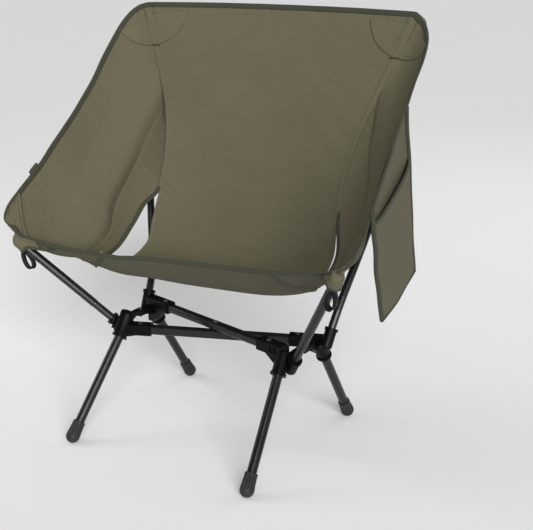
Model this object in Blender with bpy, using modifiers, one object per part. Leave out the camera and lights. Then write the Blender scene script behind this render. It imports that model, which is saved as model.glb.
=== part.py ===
"""Ultralight camp chair: crossed base rails, moulded hubs, legs, bent poles and a hung fabric sling.

Metres, +Z up. The chair faces -Y. "right" means +X, which is on the right of someone who stands in front
of the chair and looks at it. Everything is laid out around the middle of the base and then carried to the
origin by one empty.
"""
import math

import bmesh
import bpy
from mathutils import Matrix, Vector

# ---- driving dimensions ----
ORIGIN_SHIFT = Vector((-0.0026, 0.0291, 0.0))   # base layout to the middle of the bounding box
FIT_GAP = 0.0003                                # clearance kept between touching pieces
TURN_STEPS = 24                                 # facets round a turned piece

LEG_RADIUS = 0.00725
LEG_WALL = 0.0010
LEG_INSERTION = 0.024
FRONT_FOOT = Vector((0.1596, -0.1980, 0.0100))  # centre of the round end of the right front foot
FRONT_SOCKET = Vector((0.1466, -0.0929, 0.1429))
REAR_FOOT = Vector((0.1578, 0.1105, 0.0100))
REAR_SOCKET = Vector((0.1583, 0.0251, 0.1351))
FOOT_RADIUS = 0.0106
FOOT_LENGTH = 0.0350

RAIL_CROSSING = Vector((0.0, -0.0355, 0.0))
RAIL_WIDTH = 0.0140
RAIL_HEIGHT = 0.0130
RAIL_WALL = 0.0012
UPPER_RAIL_Z = 0.1720
LOWER_RAIL_Z = 0.1580
RAIL_SLOPES = {"upper": 0.260, "lower": 0.380}  # how far a rail moves in Y for each metre in X
RAIL_ENDS = {"front": 0.126, "rear": 0.140}     # X where a rail ends inside its hub
ARM_ENDS = {"front": 0.097, "rear": 0.108}      # X where a hub's arm ends on the rail
ARM_OUTER_ENDS = {"front": 0.146, "rear": 0.160}
ARM_RIVETS = {"front": 0.114, "rear": 0.120}
ARM_WALL = 0.0026

POLE_RADIUS = 0.0062
POLE_SLEEVE_RADIUS = 0.0067                     # the thicker upper tube of each pole
POLE_WALL = 0.0009
POLE_INSERTION = 0.024
FRONT_POLE_SOCKET = Vector((0.1690, -0.0820, 0.1671))
FRONT_POLE_TIPS = {"left": Vector((-0.2830, -0.1600, 0.2950)), "right": Vector((0.2725, -0.1580, 0.3280))}
REAR_POLE_SOCKET = Vector((0.1728, 0.0210, 0.1831))
REAR_POLE_LEAN = Vector((0.0835, 0.4426, 0.8928))
REAR_POLE_TIP = Vector((0.2425, 0.1425, 0.6260))
REAR_POLE_BENDS = [Vector((0.1790, 0.0400, 0.2250)), Vector((0.2040, 0.0720, 0.3300)),
                   Vector((0.2240, 0.0960, 0.4300)), Vector((0.2330, 0.1120, 0.5300))]
REAR_JOINT_SHARE = 0.40                         # where the lower tube of a rear pole ends, as a share of it
FRONT_JOINT_SHARE = 0.28
SPIGOT_REACH = 0.0220                           # how far a joint's inner sleeve goes into each tube
TIP_CAP_LENGTH = 0.0120
CORD_RADIUS = 0.0013

SOCKET_WALL = 0.0032
LIP_RADIUS = 0.0122
HUB_ROOF = 0.0100                               # solid plastic above the end of a leg
WEB_X = 0.1536
WEB_RIVET_Y = -0.0295
WEB_THICKNESS = 0.0110
TONGUE_HEIGHT = 0.0052
TONGUE_REACH = 0.0062                           # from the web rivet to a tongue's end
WEB_TOP = 0.1690
RECESS_PLACES = (0.0310, 0.0400)                # moulded pockets in a front arm, from the arm's inner end
RECESS_WIDTH = 0.0060
RECESS_HEIGHT = 0.0100
RECESS_DEPTH = 0.0014
RIVET_RADIUS = 0.0022
RIVET_HEAD = 0.0040
HEAD_HEIGHT = 0.0011

FABRIC = 0.0020
FRONT_SWAY = 0.021                              # rise of the right end of the front hem
SWAY_SPAN = 0.29
SWAY_TOP = 0.36                                 # nothing above this height is moved
SWAY_FADE = 0.06
SEAM_GAP = 0.0030
POCKET_LENGTHS = {"front": 0.020, "rear": 0.050}
LOOP_LENGTH = 0.030
LOOP_WIDTH = 0.018
LOOP_BREADTH = 0.011
LOOP_STRAP = 0.0018
LOOP_FROM_TIP = 0.0340

POUCH_BASE = Vector((0.2930, -0.1000, 0.0))     # the pouch's own Y and Z are measured from here
POUCH_TURN = math.radians(4.9)
POUCH_FRONT_TOP = Vector((-0.0110, 0.4070))
POUCH_REAR_TOP = Vector((0.1090, 0.5290))
POUCH_REAR_LOW = Vector((0.1700, 0.2790))
POUCH_FRONT_LOW = Vector((0.0380, 0.2430))
POUCH_MOUTH_FRONT = Vector((-0.0065, 0.3920))
POUCH_MOUTH_REAR = Vector((0.1240, 0.4570))
POUCH_DEPTH = 0.0120
POUCH_SKIN = 0.0018

BLACK = (0.012, 0.012, 0.013)
NYLON = (0.016, 0.016, 0.017)
RUBBER = (0.020, 0.020, 0.020)
STEEL = (0.62, 0.62, 0.60)
OLIVE = (0.150, 0.130, 0.082)
OLIVE_DARK = (0.110, 0.100, 0.070)
WEBBING = (0.010, 0.010, 0.010)

SIDES = {"left": -1, "right": 1}


# ---- scene ----
def clear_scene():
    for old in list(bpy.data.objects):
        bpy.data.objects.remove(old, do_unlink=True)


clear_scene()
chair = bpy.data.collections.new("ultralight_chair")
cutters = bpy.data.collections.new("cutters")
bpy.context.scene.collection.children.link(chair)
bpy.context.scene.collection.children.link(cutters)

origin = bpy.data.objects.new("chair_origin", None)
origin.location = ORIGIN_SHIFT
chair.objects.link(origin)


# ---- helpers ----
def make_material(name, colour, roughness, metallic=0.0):
    material = bpy.data.materials.new(name)
    material.use_nodes = True
    shader = material.node_tree.nodes["Principled BSDF"]
    shader.inputs["Base Color"].default_value = (*colour, 1.0)
    shader.inputs["Roughness"].default_value = roughness
    shader.inputs["Metallic"].default_value = metallic
    return material


MATERIALS = {
    "tube": make_material("anodised_tube", BLACK, 0.32, 0.85),
    "nylon": make_material("moulded_nylon", NYLON, 0.48),
    "rubber": make_material("foot_rubber", RUBBER, 0.75),
    "rivet": make_material("rivet_metal", STEEL, 0.30, 1.0),
    "fabric": make_material("sling_fabric", OLIVE, 0.85),
    "patch": make_material("patch_fabric", OLIVE_DARK, 0.85),
    "webbing": make_material("webbing", WEBBING, 0.80),
}


def place(obj, material, parent=origin, matrix=None):
    """Put a finished object in the chair's collection under its parent."""
    if obj.name not in chair.objects:
        chair.objects.link(obj)
    obj.data.materials.clear()
    obj.data.materials.append(MATERIALS[material])
    obj.parent = parent
    if matrix is not None:
        obj.matrix_local = matrix
    return obj


def mirrored(point, side):
    return Vector((point.x * side, point.y, point.z))


def ease(value):
    value = min(max(value, 0.0), 1.0)
    return value * value * (3.0 - 2.0 * value)


def sway(point):
    """The front of the fabric hangs lower at its left corner than at its right one."""
    share = ease((0.05 - point.y) / 0.20) * ease((SWAY_TOP - point.z) / SWAY_FADE)
    return point + Vector((0.0, 0.0, FRONT_SWAY * point.x / SWAY_SPAN * share))


def along(start, direction):
    """A frame at start with its Z axis along direction."""
    turn = Vector(direction).to_track_quat("Z", "Y").to_matrix().to_4x4()
    return Matrix.Translation(start) @ turn


def mesh_object(name, bm):
    mesh = bpy.data.meshes.new(name)
    bm.to_mesh(mesh)
    bm.free()
    return bpy.data.objects.new(name, mesh)


def smooth(obj, angle=35.0):
    obj.data.shade_smooth()
    obj.data.set_sharp_from_angle(angle=math.radians(angle))


def turned(name, profile, steps=TURN_STEPS, closed=False):
    """A turned piece: profile is (radius, height) from the top down its outer side."""
    bm = bmesh.new()
    verts = [bm.verts.new((radius, 0.0, height)) for radius, height in profile]
    for a, b in zip(verts, verts[1:]):
        bm.edges.new((a, b))
    if closed:
        bm.edges.new((verts[-1], verts[0]))
    obj = mesh_object(name, bm)
    screw = obj.modifiers.new("turn", "SCREW")
    screw.steps = steps
    screw.render_steps = steps
    screw.use_merge_vertices = True
    screw.merge_threshold = 0.00005
    screw.use_smooth_shade = True
    return obj


def hollow_profile(radius, wall, bottom, top):
    return [(radius - wall, top), (radius, top), (radius, bottom), (radius - wall, bottom)]


def stepped_mesh(profile, steps=TURN_STEPS):
    """A solid round bar whose profile is (radius, height) from the bottom up."""
    bm = bmesh.new()
    turns = [2.0 * math.pi * step / steps for step in range(steps)]
    rings = [[bm.verts.new((radius * math.cos(turn), radius * math.sin(turn), height)) for turn in turns]
             for radius, height in profile]
    for lower, upper in zip(rings, rings[1:]):
        for step in range(steps):
            after = (step + 1) % steps
            bm.faces.new((lower[step], lower[after], upper[after], upper[step]))
    bm.faces.new(rings[0][::-1])
    bm.faces.new(rings[-1])
    return bm


def cylinder_mesh(radius, bottom, top, steps=TURN_STEPS):
    return stepped_mesh([(radius, bottom), (radius, top)], steps)


def box_mesh(low, high):
    bm = bmesh.new()
    bmesh.ops.create_cube(bm, size=1.0)
    low, high = Vector(low), Vector(high)
    bmesh.ops.scale(bm, verts=bm.verts, vec=high - low)
    bmesh.ops.translate(bm, verts=bm.verts, vec=(low + high) / 2.0)
    return bm


def swept_outline(points, sweep, centred=True):
    """A flat outline swept along a vector, half to each side of it when centred."""
    sweep = Vector(sweep)
    start = -sweep / 2.0 if centred else Vector()
    bm = bmesh.new()
    face = bm.faces.new([bm.verts.new(Vector(point) + start) for point in points])
    swept = bmesh.ops.extrude_face_region(bm, geom=[face])
    moved = [item for item in swept["geom"] if isinstance(item, bmesh.types.BMVert)]
    bmesh.ops.translate(bm, verts=moved, vec=sweep)
    bmesh.ops.recalc_face_normals(bm, faces=bm.faces)
    return bm


def baked(obj):
    """A plain mesh object with obj's modifiers worked in; obj is removed."""
    depsgraph = bpy.context.evaluated_depsgraph_get()
    mesh = bpy.data.meshes.new_from_object(obj.evaluated_get(depsgraph))
    name, matrix = obj.name, obj.matrix_world.copy()
    bpy.data.objects.remove(obj, do_unlink=True)
    bm = bmesh.new()
    bm.from_mesh(mesh)
    bmesh.ops.remove_doubles(bm, verts=bm.verts, dist=0.00002)
    bm.to_mesh(mesh)
    bm.free()
    mesh.name = name
    fresh = bpy.data.objects.new(name, mesh)
    fresh.matrix_world = matrix
    return fresh


def combine(body, tools, operation):
    """Join or cut body with plain meshes given as (bmesh, matrix) pairs."""
    chair.objects.link(body)
    for index, (bm, matrix) in enumerate(tools):
        tool = mesh_object(f"{body.name}_{operation.lower()}_{index}", bm)
        tool.matrix_world = matrix
        tool.display_type = "WIRE"
        tool.hide_render = True
        cutters.objects.link(tool)
        modifier = body.modifiers.new(tool.name, "BOOLEAN")
        modifier.operation = operation
        modifier.object = tool
        modifier.solver = "EXACT"
    bpy.context.view_layer.update()
    result = baked(body)
    for tool in list(cutters.objects):
        bpy.data.objects.remove(tool, do_unlink=True)
    return result


def curve_tube(name, points, radius, sides=4, capped=True):
    """A round bar or open tube skin through points."""
    curve = bpy.data.curves.new(name, "CURVE")
    curve.dimensions = "3D"
    curve.bevel_depth = radius
    curve.bevel_resolution = sides
    curve.use_fill_caps = capped
    spline = curve.splines.new("POLY")
    spline.points.add(len(points) - 1)
    for target, point in zip(spline.points, points):
        target.co = (*point, 1.0)
    return bpy.data.objects.new(name, curve)


def hollow_tube(name, points, radius, wall):
    tube = curve_tube(name, points, radius, capped=False)
    skin = tube.modifiers.new("wall", "SOLIDIFY")
    skin.thickness = wall
    skin.offset = -1.0
    return tube


def smooth_path(points, count):
    """Points evenly spread in parameter on a Catmull-Rom curve through the given ones."""
    padded = [2 * points[0] - points[1], *points, 2 * points[-1] - points[-2]]
    path = []
    for step in range(count):
        place_on = step * (len(points) - 1) / (count - 1)
        index = min(int(place_on), len(points) - 2)
        t = place_on - index
        p0, p1, p2, p3 = padded[index:index + 4]
        path.append(0.5 * (2 * p1 + (p2 - p0) * t + (2 * p0 - 5 * p1 + 4 * p2 - p3) * t ** 2
                           + (3 * p1 - p0 - 3 * p2 + p3) * t ** 3))
    return path


def path_length(path):
    return sum((b - a).length for a, b in zip(path, path[1:]))


def split_path(path, share):
    """Cut a path in two at a share of its length, both halves holding the cut point."""
    target = share * path_length(path)
    run = 0.0
    for index, length in enumerate((b - a).length for a, b in zip(path, path[1:])):
        if run + length >= target:
            cut = path[index].lerp(path[index + 1], (target - run) / length)
            return [*path[:index + 1], cut], [cut, *path[index + 1:]]
        run += length
    return path, [path[-1]]


def trimmed(path, at_start, at_end):
    """A path shortened by the given lengths at its two ends."""
    total = path_length(path)
    if at_start > 0.0:
        path = split_path(path, at_start / total)[1]
        total -= at_start
    if at_end > 0.0:
        path = split_path(path, 1.0 - at_end / total)[0]
    return path


# ---- legs and feet ----
def leg_axis(row, side):
    foot, socket = (FRONT_FOOT, FRONT_SOCKET) if row == "front" else (REAR_FOOT, REAR_SOCKET)
    foot, socket = mirrored(foot, side), mirrored(socket, side)
    return foot, socket, (socket - foot).normalized()


def make_leg(row, side_name):
    side = SIDES[side_name]
    foot, socket, direction = leg_axis(row, side)
    length = (socket - foot).length
    axis = bpy.data.objects.new(f"leg_{row}_{side_name}_axis", None)
    chair.objects.link(axis)
    axis.parent = origin
    frame = along(socket, direction)
    axis.matrix_local = frame

    foot_floor = -length - FOOT_RADIUS
    tube_low = foot_floor + 0.0070
    tube = turned(f"leg_tube_{row}_{side_name}",
                  hollow_profile(LEG_RADIUS, LEG_WALL, tube_low, LEG_INSERTION), closed=True)
    place(tube, "tube", axis)

    cord = turned(f"leg_cord_{row}_{side_name}",
                  [(0.0, LEG_INSERTION - 0.001), (CORD_RADIUS, LEG_INSERTION - 0.001),
                   (CORD_RADIUS, tube_low + 0.001), (0.0, tube_low + 0.001)], steps=8)
    place(cord, "webbing", axis)

    cup = LEG_RADIUS + FIT_GAP
    pocket = tube_low - FIT_GAP
    foot_top = foot_floor + FOOT_LENGTH
    round_end = [(FOOT_RADIUS * math.cos(angle), -length - FOOT_RADIUS * math.sin(angle))
                 for angle in map(math.radians, (0, 15, 30, 45, 60, 75))]
    foot_body = turned(f"foot_{row}_{side_name}",
                       [(0.0, pocket), (cup, pocket), (cup, foot_top), (0.0088, foot_top),
                        (0.0093, foot_top - 0.002), (0.0098, -length + 0.010), *round_end,
                        (0.0, foot_floor)])
    foot_body.matrix_world = frame
    below_floor = box_mesh((-1.0, -1.0, -0.1), (1.0, 1.0, 0.0))
    solid = combine(foot_body, [(below_floor, Matrix.Identity(4))], "DIFFERENCE")
    solid.matrix_world = Matrix.Identity(4)
    smooth(solid)
    place(solid, "rubber", axis)


# ---- rails ----
RAILS = {"upper": (UPPER_RAIL_Z, 1, 0.0040),    # height, +1 where +X runs to the front, corner radius
         "lower": (LOWER_RAIL_Z, -1, 0.0022)}


def rail_frame(level_name):
    """A frame where the rails cross, at a rail's height, with X along the rail."""
    level, sign, _ = RAILS[level_name]
    direction = Vector((1.0, -sign * RAIL_SLOPES[level_name], 0.0)).normalized()
    across = Vector((-direction.y, direction.x, 0.0))
    frame = Matrix((direction, across, Vector((0.0, 0.0, 1.0)))).transposed().to_4x4()
    return Matrix.Translation(RAIL_CROSSING + Vector((0.0, 0.0, level))) @ frame


def rounded_rectangle(width, height, radius, steps=4):
    corners = [(1, 1, 0), (-1, 1, 90), (-1, -1, 180), (1, -1, 270)]
    points = []
    for sx, sy, start in corners:
        for step in range(steps + 1):
            angle = math.radians(start + 90.0 * step / steps)
            points.append((sx * (width / 2 - radius) + radius * math.cos(angle),
                           sy * (height / 2 - radius) + radius * math.sin(angle)))
    return points


def rail_prism(width, height, radius, low, high):
    """A rounded bar along X from low to high."""
    ring = [(low, y, z) for y, z in rounded_rectangle(width, height, radius)]
    return swept_outline(ring, (high - low, 0.0, 0.0), centred=False)


def on_rail(level_name, x):
    """Distance along a rail for a place at the given X."""
    return x * math.sqrt(1.0 + RAIL_SLOPES[level_name] ** 2)


def rail_span(level_name, places):
    """Distances along a rail, in +X order, of one place at its front end and one at its rear end."""
    front, rear = on_rail(level_name, places["front"]), on_rail(level_name, places["rear"])
    return (-rear, front) if RAILS[level_name][1] > 0 else (-front, rear)


def make_rail(level_name):
    corner = RAILS[level_name][2]
    low, high = rail_span(level_name, RAIL_ENDS)
    frame = rail_frame(level_name)
    body = mesh_object(f"{level_name}_rail", rail_prism(RAIL_WIDTH, RAIL_HEIGHT, corner, low, high))
    body.matrix_world = frame
    bore = rail_prism(RAIL_WIDTH - 2 * RAIL_WALL, RAIL_HEIGHT - 2 * RAIL_WALL, corner - RAIL_WALL,
                      low - 0.01, high + 0.01)
    tools = [(bore, frame)]
    for distance in (0.0, *rail_span(level_name, ARM_RIVETS)):
        hole = cylinder_mesh(RIVET_RADIUS + FIT_GAP, -0.02, 0.02, 16)
        tools.append((hole, frame @ Matrix.Translation((distance, 0.0, 0.0))))
    solid = combine(body, tools, "DIFFERENCE")
    smooth(solid)
    place(solid, "tube", matrix=frame)


def make_rivet(name, centre, low, high):
    """A two-headed rivet whose heads bear on faces at heights low and high."""
    dome = HEAD_HEIGHT
    profile = [(0.0, high + dome), (RIVET_HEAD * 0.6, high + dome * 0.85), (RIVET_HEAD, high + dome * 0.3),
               (RIVET_HEAD, high), (RIVET_RADIUS, high), (RIVET_RADIUS, low), (RIVET_HEAD, low),
               (RIVET_HEAD, low - dome * 0.3), (RIVET_HEAD * 0.6, low - dome * 0.85), (0.0, low - dome)]
    rivet = turned(name, profile, steps=16)
    place(rivet, "rivet", matrix=Matrix.Translation(centre))


# ---- hubs ----
def hub_rail(row, side):
    """The rail that a hub holds."""
    return "upper" if (row == "front") == (side > 0) else "lower"


def pole_start(row, side_name):
    """The mouth of a pole's socket and the direction in which the pole leaves it."""
    side = SIDES[side_name]
    if row == "front":
        socket = mirrored(FRONT_POLE_SOCKET, side)
        return socket, (FRONT_POLE_TIPS[side_name] - socket).normalized()
    return mirrored(REAR_POLE_SOCKET, side), mirrored(REAR_POLE_LEAN, side).normalized()


def web_mesh(row, socket_y):
    """A tongue towards the other hub of the same side, the front hub's above the rear hub's."""
    toward = 1.0 if row == "front" else -1.0
    shoulder = WEB_TOP if row == "front" else WEB_TOP - 0.0010
    top = WEB_TOP if row == "front" else WEB_TOP - TONGUE_HEIGHT - FIT_GAP
    bottom = top - TONGUE_HEIGHT
    start = socket_y + 0.014 * toward
    tip = WEB_RIVET_Y + toward * TONGUE_REACH
    root = WEB_RIVET_Y - toward * (TONGUE_REACH + 0.0008)
    arch = [(start, WEB_TOP - 0.0010), (root - toward * 0.0010, shoulder), (root, top), (tip, top),
            (tip, bottom), (root, bottom), (root - toward * 0.0100, bottom - 0.0018),
            (root - toward * 0.0200, bottom - 0.0060), (start, bottom - 0.0150)]
    return swept_outline([(0.0, y, z) for y, z in arch], (WEB_THICKNESS, 0.0, 0.0))


def make_hub(row, side_name):
    side = SIDES[side_name]
    level_name = hub_rail(row, side)
    level, _, corner = RAILS[level_name]
    frame = rail_frame(level_name)
    _, socket, leg_direction = leg_axis(row, side)
    leg_frame = along(socket, leg_direction)
    pole_frame = along(*pole_start(row, side_name))
    arm_end = on_rail(level_name, ARM_ENDS[row])
    rail_end = on_rail(level_name, RAIL_ENDS[row])
    outer_end = on_rail(level_name, ARM_OUTER_ENDS[row])
    arm_width, arm_height = RAIL_WIDTH + 2 * ARM_WALL, RAIL_HEIGHT + 2 * ARM_WALL

    def beside(low, high):
        return (low, high) if side > 0 else (-high, -low)

    leg_radius = LEG_RADIUS + SOCKET_WALL
    pole_radius = POLE_RADIUS + SOCKET_WALL - 0.0004
    pole_bottom = -POLE_INSERTION - 0.0050
    low, high = beside(arm_end, outer_end)
    body = mesh_object(f"hub_{row}_{side_name}", rail_prism(arm_width, arm_height, 0.0024, low, high))
    body.matrix_world = frame

    gusset_top = -arm_height / 2 + 0.002
    gusset_low = min(socket.z + 0.004 - level, -arm_height / 2 - 0.004)
    gusset_end = outer_end - 0.0006
    gusset = [((arm_end + 0.010) * side, gusset_top), (gusset_end * side, gusset_top),
              (gusset_end * side, gusset_low), ((gusset_end - 0.012) * side, gusset_low)]
    roof = LEG_INSERTION + HUB_ROOF
    leg_sleeve = [(LIP_RADIUS, -0.0010), (LIP_RADIUS, 0.0026), (leg_radius, 0.0026),
                  (leg_radius, roof - 0.0025), (leg_radius - 0.0022, roof)]
    pole_sleeve = [(pole_radius - 0.0032, pole_bottom - 0.0036), (pole_radius, pole_bottom),
                   (pole_radius, -0.0042), (pole_radius + 0.0014, -0.0042), (pole_radius + 0.0014, 0.0006)]
    joined = [(stepped_mesh(leg_sleeve), leg_frame), (stepped_mesh(pole_sleeve), pole_frame),
              (swept_outline([(x, 0.0, z) for x, z in gusset], (0.0, 0.0110, 0.0)), frame),
              (web_mesh(row, socket.y), Matrix.Translation((WEB_X * side, 0.0, 0.0)))]
    solid = combine(body, joined, "UNION")

    low, high = beside(arm_end - 0.01, rail_end + FIT_GAP)
    slot = rail_prism(RAIL_WIDTH + 2 * FIT_GAP, RAIL_HEIGHT + 2 * FIT_GAP, corner, low, high)
    rivet_x = on_rail(level_name, ARM_RIVETS[row]) * side
    cuts = [(cylinder_mesh(LEG_RADIUS + FIT_GAP, -0.03, LEG_INSERTION + FIT_GAP), leg_frame),
            (cylinder_mesh(POLE_RADIUS + FIT_GAP, -POLE_INSERTION - FIT_GAP, 0.03), pole_frame),
            (slot, frame),
            (cylinder_mesh(RIVET_RADIUS + FIT_GAP, -0.03, 0.03, 16),
             frame @ Matrix.Translation((rivet_x, 0.0, 0.0))),
            (cylinder_mesh(RIVET_HEAD + 2 * FIT_GAP, -0.03, -arm_height / 2 + 0.0002, 16),
             frame @ Matrix.Translation((rivet_x, 0.0, 0.0))),
            (cylinder_mesh(RIVET_RADIUS + FIT_GAP, 0.13, 0.18, 16),
             Matrix.Translation((WEB_X * side, WEB_RIVET_Y, 0.0)))]
    if row == "front":
        for distance in RECESS_PLACES:
            middle = (arm_end + distance) * side
            recess = box_mesh((middle - RECESS_WIDTH / 2, -arm_width / 2 - 0.001, -RECESS_HEIGHT / 2),
                              (middle + RECESS_WIDTH / 2, -arm_width / 2 + RECESS_DEPTH, RECESS_HEIGHT / 2))
            cuts.append((recess, frame))
    solid = combine(solid, cuts, "DIFFERENCE")
    smooth(solid)
    place(solid, "nylon", matrix=solid.matrix_world.copy())


def make_base():
    for level_name in RAILS:
        make_rail(level_name)
    head = RAIL_HEIGHT / 2 + FIT_GAP
    make_rivet("crossing_rivet", RAIL_CROSSING, LOWER_RAIL_Z - head, UPPER_RAIL_Z + head)
    arm = RAIL_HEIGHT / 2 + ARM_WALL + FIT_GAP
    for row in ("front", "rear"):
        for side_name, side in SIDES.items():
            make_hub(row, side_name)
            level_name = hub_rail(row, side)
            distance = on_rail(level_name, ARM_RIVETS[row]) * side
            centre = rail_frame(level_name) @ Vector((distance, 0.0, 0.0))
            make_rivet(f"arm_rivet_{row}_{side_name}", Vector((centre.x, centre.y, 0.0)),
                       centre.z - arm, centre.z + arm)
    for side_name, side in SIDES.items():
        centre = Vector((WEB_X * side, WEB_RIVET_Y, 0.0))
        low = WEB_TOP - 2 * TONGUE_HEIGHT - 2 * FIT_GAP
        make_rivet(f"web_rivet_{side_name}", centre, low, WEB_TOP + FIT_GAP)


# ---- poles ----
def pole_path(row, side_name):
    """The pole's centre line from the bottom of its socket to its tip."""
    side = SIDES[side_name]
    socket, direction = pole_start(row, side_name)
    start = socket - direction * POLE_INSERTION
    if row == "front":
        return [start, FRONT_POLE_TIPS[side_name]]
    bends = [mirrored(point, side) for point in REAR_POLE_BENDS]
    return [start, *smooth_path([socket + direction * 0.006, *bends, mirrored(REAR_POLE_TIP, side)], 15)]


def make_pole(row, side_name):
    path = pole_path(row, side_name)
    share = FRONT_JOINT_SHARE if row == "front" else REAR_JOINT_SHARE
    lower, upper = split_path(path, share)
    body = trimmed(upper, FIT_GAP, TIP_CAP_LENGTH)
    name = f"{row}_{side_name}"
    place(hollow_tube(f"pole_lower_{name}", lower, POLE_RADIUS, POLE_WALL), "tube")
    place(hollow_tube(f"pole_upper_{name}", body, POLE_SLEEVE_RADIUS, POLE_WALL), "tube")

    spigot_radius = POLE_RADIUS - POLE_WALL - FIT_GAP
    half_down = trimmed(lower, path_length(lower) - SPIGOT_REACH, 0.0)
    half_up = trimmed(upper, 0.0, path_length(upper) - SPIGOT_REACH)
    spigot = hollow_tube(f"pole_spigot_{name}", [*half_down, *half_up[1:]], spigot_radius, 0.0008)
    place(spigot, "rivet")

    cord = trimmed(path, 0.003, TIP_CAP_LENGTH + 0.010)
    place(curve_tube(f"pole_cord_{name}", cord, CORD_RADIUS, 1), "webbing")

    end = path[-1]
    direction = (path[-1] - path[-2]).normalized()
    cap_low = -TIP_CAP_LENGTH + FIT_GAP
    outer = POLE_SLEEVE_RADIUS + 0.0006
    inner = POLE_SLEEVE_RADIUS - POLE_WALL - FIT_GAP
    cap = turned(f"pole_cap_{name}",
                 [(0.0, 0.0), (outer * 0.55, -0.0006), (outer * 0.88, -0.0026), (outer, -0.0056),
                  (outer, cap_low), (inner, cap_low), (inner, cap_low - 0.0070), (0.0, cap_low - 0.0070)])
    place(cap, "nylon", matrix=along(end, direction))


# ---- sling ----
CENTRE_LINE = [Vector((0.0, y, z)) for y, z in (
    (-0.0980, 0.2910), (-0.0800, 0.2540), (-0.0480, 0.2370), (-0.0100, 0.2320), (0.0280, 0.2450),
    (0.0560, 0.2860), (0.0780, 0.3460), (0.0970, 0.4240), (0.1120, 0.5000), (0.1260, 0.5780),
    (0.1380, 0.6475))]
UPPER_SEAM = [Vector(point) for point in (
    (0.1640, 0.0690, 0.4120), (0.1760, 0.0900, 0.4720), (0.1990, 0.1060, 0.5350), (0.2430, 0.1300, 0.6445))]
PANEL_EDGE = [Vector(point) for point in (
    (0.1500, -0.1160, 0.2955), (0.1530, -0.0960, 0.2660), (0.1500, -0.0630, 0.2560),
    (0.1500, -0.0300, 0.2610), (0.1600, 0.0020, 0.2740), (0.1660, 0.0260, 0.3020),
    (0.1640, 0.0480, 0.3520))] + UPPER_SEAM
WING_INNER = [Vector(point) for point in (
    (0.1500, -0.1160, 0.2955), (0.1590, -0.0930, 0.2670), (0.1680, -0.0660, 0.2640),
    (0.1790, -0.0400, 0.2850), (0.1840, -0.0100, 0.3020), (0.1760, 0.0200, 0.3300),
    (0.1650, 0.0480, 0.3540))] + UPPER_SEAM
WING_CORNERS = {
    "left": [Vector(point) for point in (
        (0.2960, -0.1760, 0.3250), (0.3000, -0.1690, 0.3450), (0.2970, -0.1400, 0.3710))],
    "right": [Vector(point) for point in (
        (0.2880, -0.1680, 0.3260), (0.2950, -0.1500, 0.3630), (0.2950, -0.1250, 0.3820))]}
WING_OUTER = [Vector(point) for point in (
    (0.2900, -0.1000, 0.4050), (0.2870, -0.0750, 0.4300), (0.2835, -0.0500, 0.4540), (0.2820, -0.0250, 0.4760),
    (0.2810, 0.0000, 0.5005), (0.2795, 0.0250, 0.5265), (0.2790, 0.0500, 0.5570), (0.2790, 0.0750, 0.5835),
    (0.2750, 0.1000, 0.6100), (0.2640, 0.1220, 0.6290), (0.2500, 0.1290, 0.6400))]
HEM = [Vector(point) for point in (
    (0.1500, -0.1160, 0.2955), (0.2000, -0.1315, 0.3025), (0.2515, -0.1510, 0.3145))]
WING_BULGE = Vector((0.012, 0.010, 0.0))
WING_TROUGH = 0.013                             # how far a wing sags just behind its front hem
TROUGH_END = 0.34                               # share of the wing's length over which it does


def inset_from(points, amount):
    """Move a border towards +X (amount > 0) or -X so that two panels don't touch at their seam."""
    return [point + Vector((amount, 0.0, 0.0)) for point in points]


def panel_object(name, rows, thickness):
    """A sheet through rows of points, thickened about its middle."""
    bm = bmesh.new()
    grid = [[bm.verts.new(point) for point in row] for row in rows]
    for lower, upper in zip(grid, grid[1:]):
        for a, b, c, d in zip(lower, lower[1:], upper[1:], upper):
            bm.faces.new((a, b, c, d))
    obj = mesh_object(name, bm)
    skin = obj.modifiers.new("thickness", "SOLIDIFY")
    skin.thickness = thickness
    skin.offset = 0.0
    skin.use_even_offset = False
    return obj


def make_centre_panel():
    count, columns = 27, 12
    borders = smooth_path(inset_from(PANEL_EDGE, -SEAM_GAP / 2), count)
    middles = smooth_path(CENTRE_LINE, count)
    rows = []
    for border, middle in zip(borders, middles):
        row = []
        for step in range(columns + 1):
            u = 2.0 * step / columns - 1.0
            depth = 1.0 - abs(u) ** 2.2
            point = Vector((border.x * u, border.y + (middle.y - border.y) * depth,
                            border.z + (middle.z - border.z) * depth))
            row.append(sway(point))
        rows.append(row)
    place(panel_object("sling_seat_back", rows, FABRIC), "fabric")


def make_wing(side_name):
    side = SIDES[side_name]
    count, columns = 17, 8
    inner = smooth_path(inset_from(WING_INNER, SEAM_GAP / 2), count)
    outer = smooth_path(WING_CORNERS[side_name] + WING_OUTER, count)
    hem = smooth_path([*HEM, outer[0]], columns + 1)
    rows = []
    for index in range(count):
        v = index / (count - 1)
        row = []
        for step in range(columns + 1):
            u = step / columns
            point = inner[index].lerp(outer[index], u)
            straight_hem = inner[0].lerp(outer[0], u)
            point += (hem[step] - straight_hem) * (1.0 - v) ** 3 * (u > 0.0)
            point += WING_BULGE * math.sin(math.pi * u) * math.sin(math.pi * v)
            point.z -= WING_TROUGH * math.sin(math.pi * u) * math.sin(math.pi * min(v / TROUGH_END, 1.0))
            row.append(sway(mirrored(point, side)))
        rows.append(row if side > 0 else row[::-1])
    place(panel_object(f"sling_wing_{side_name}", rows, FABRIC), "fabric")


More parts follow.
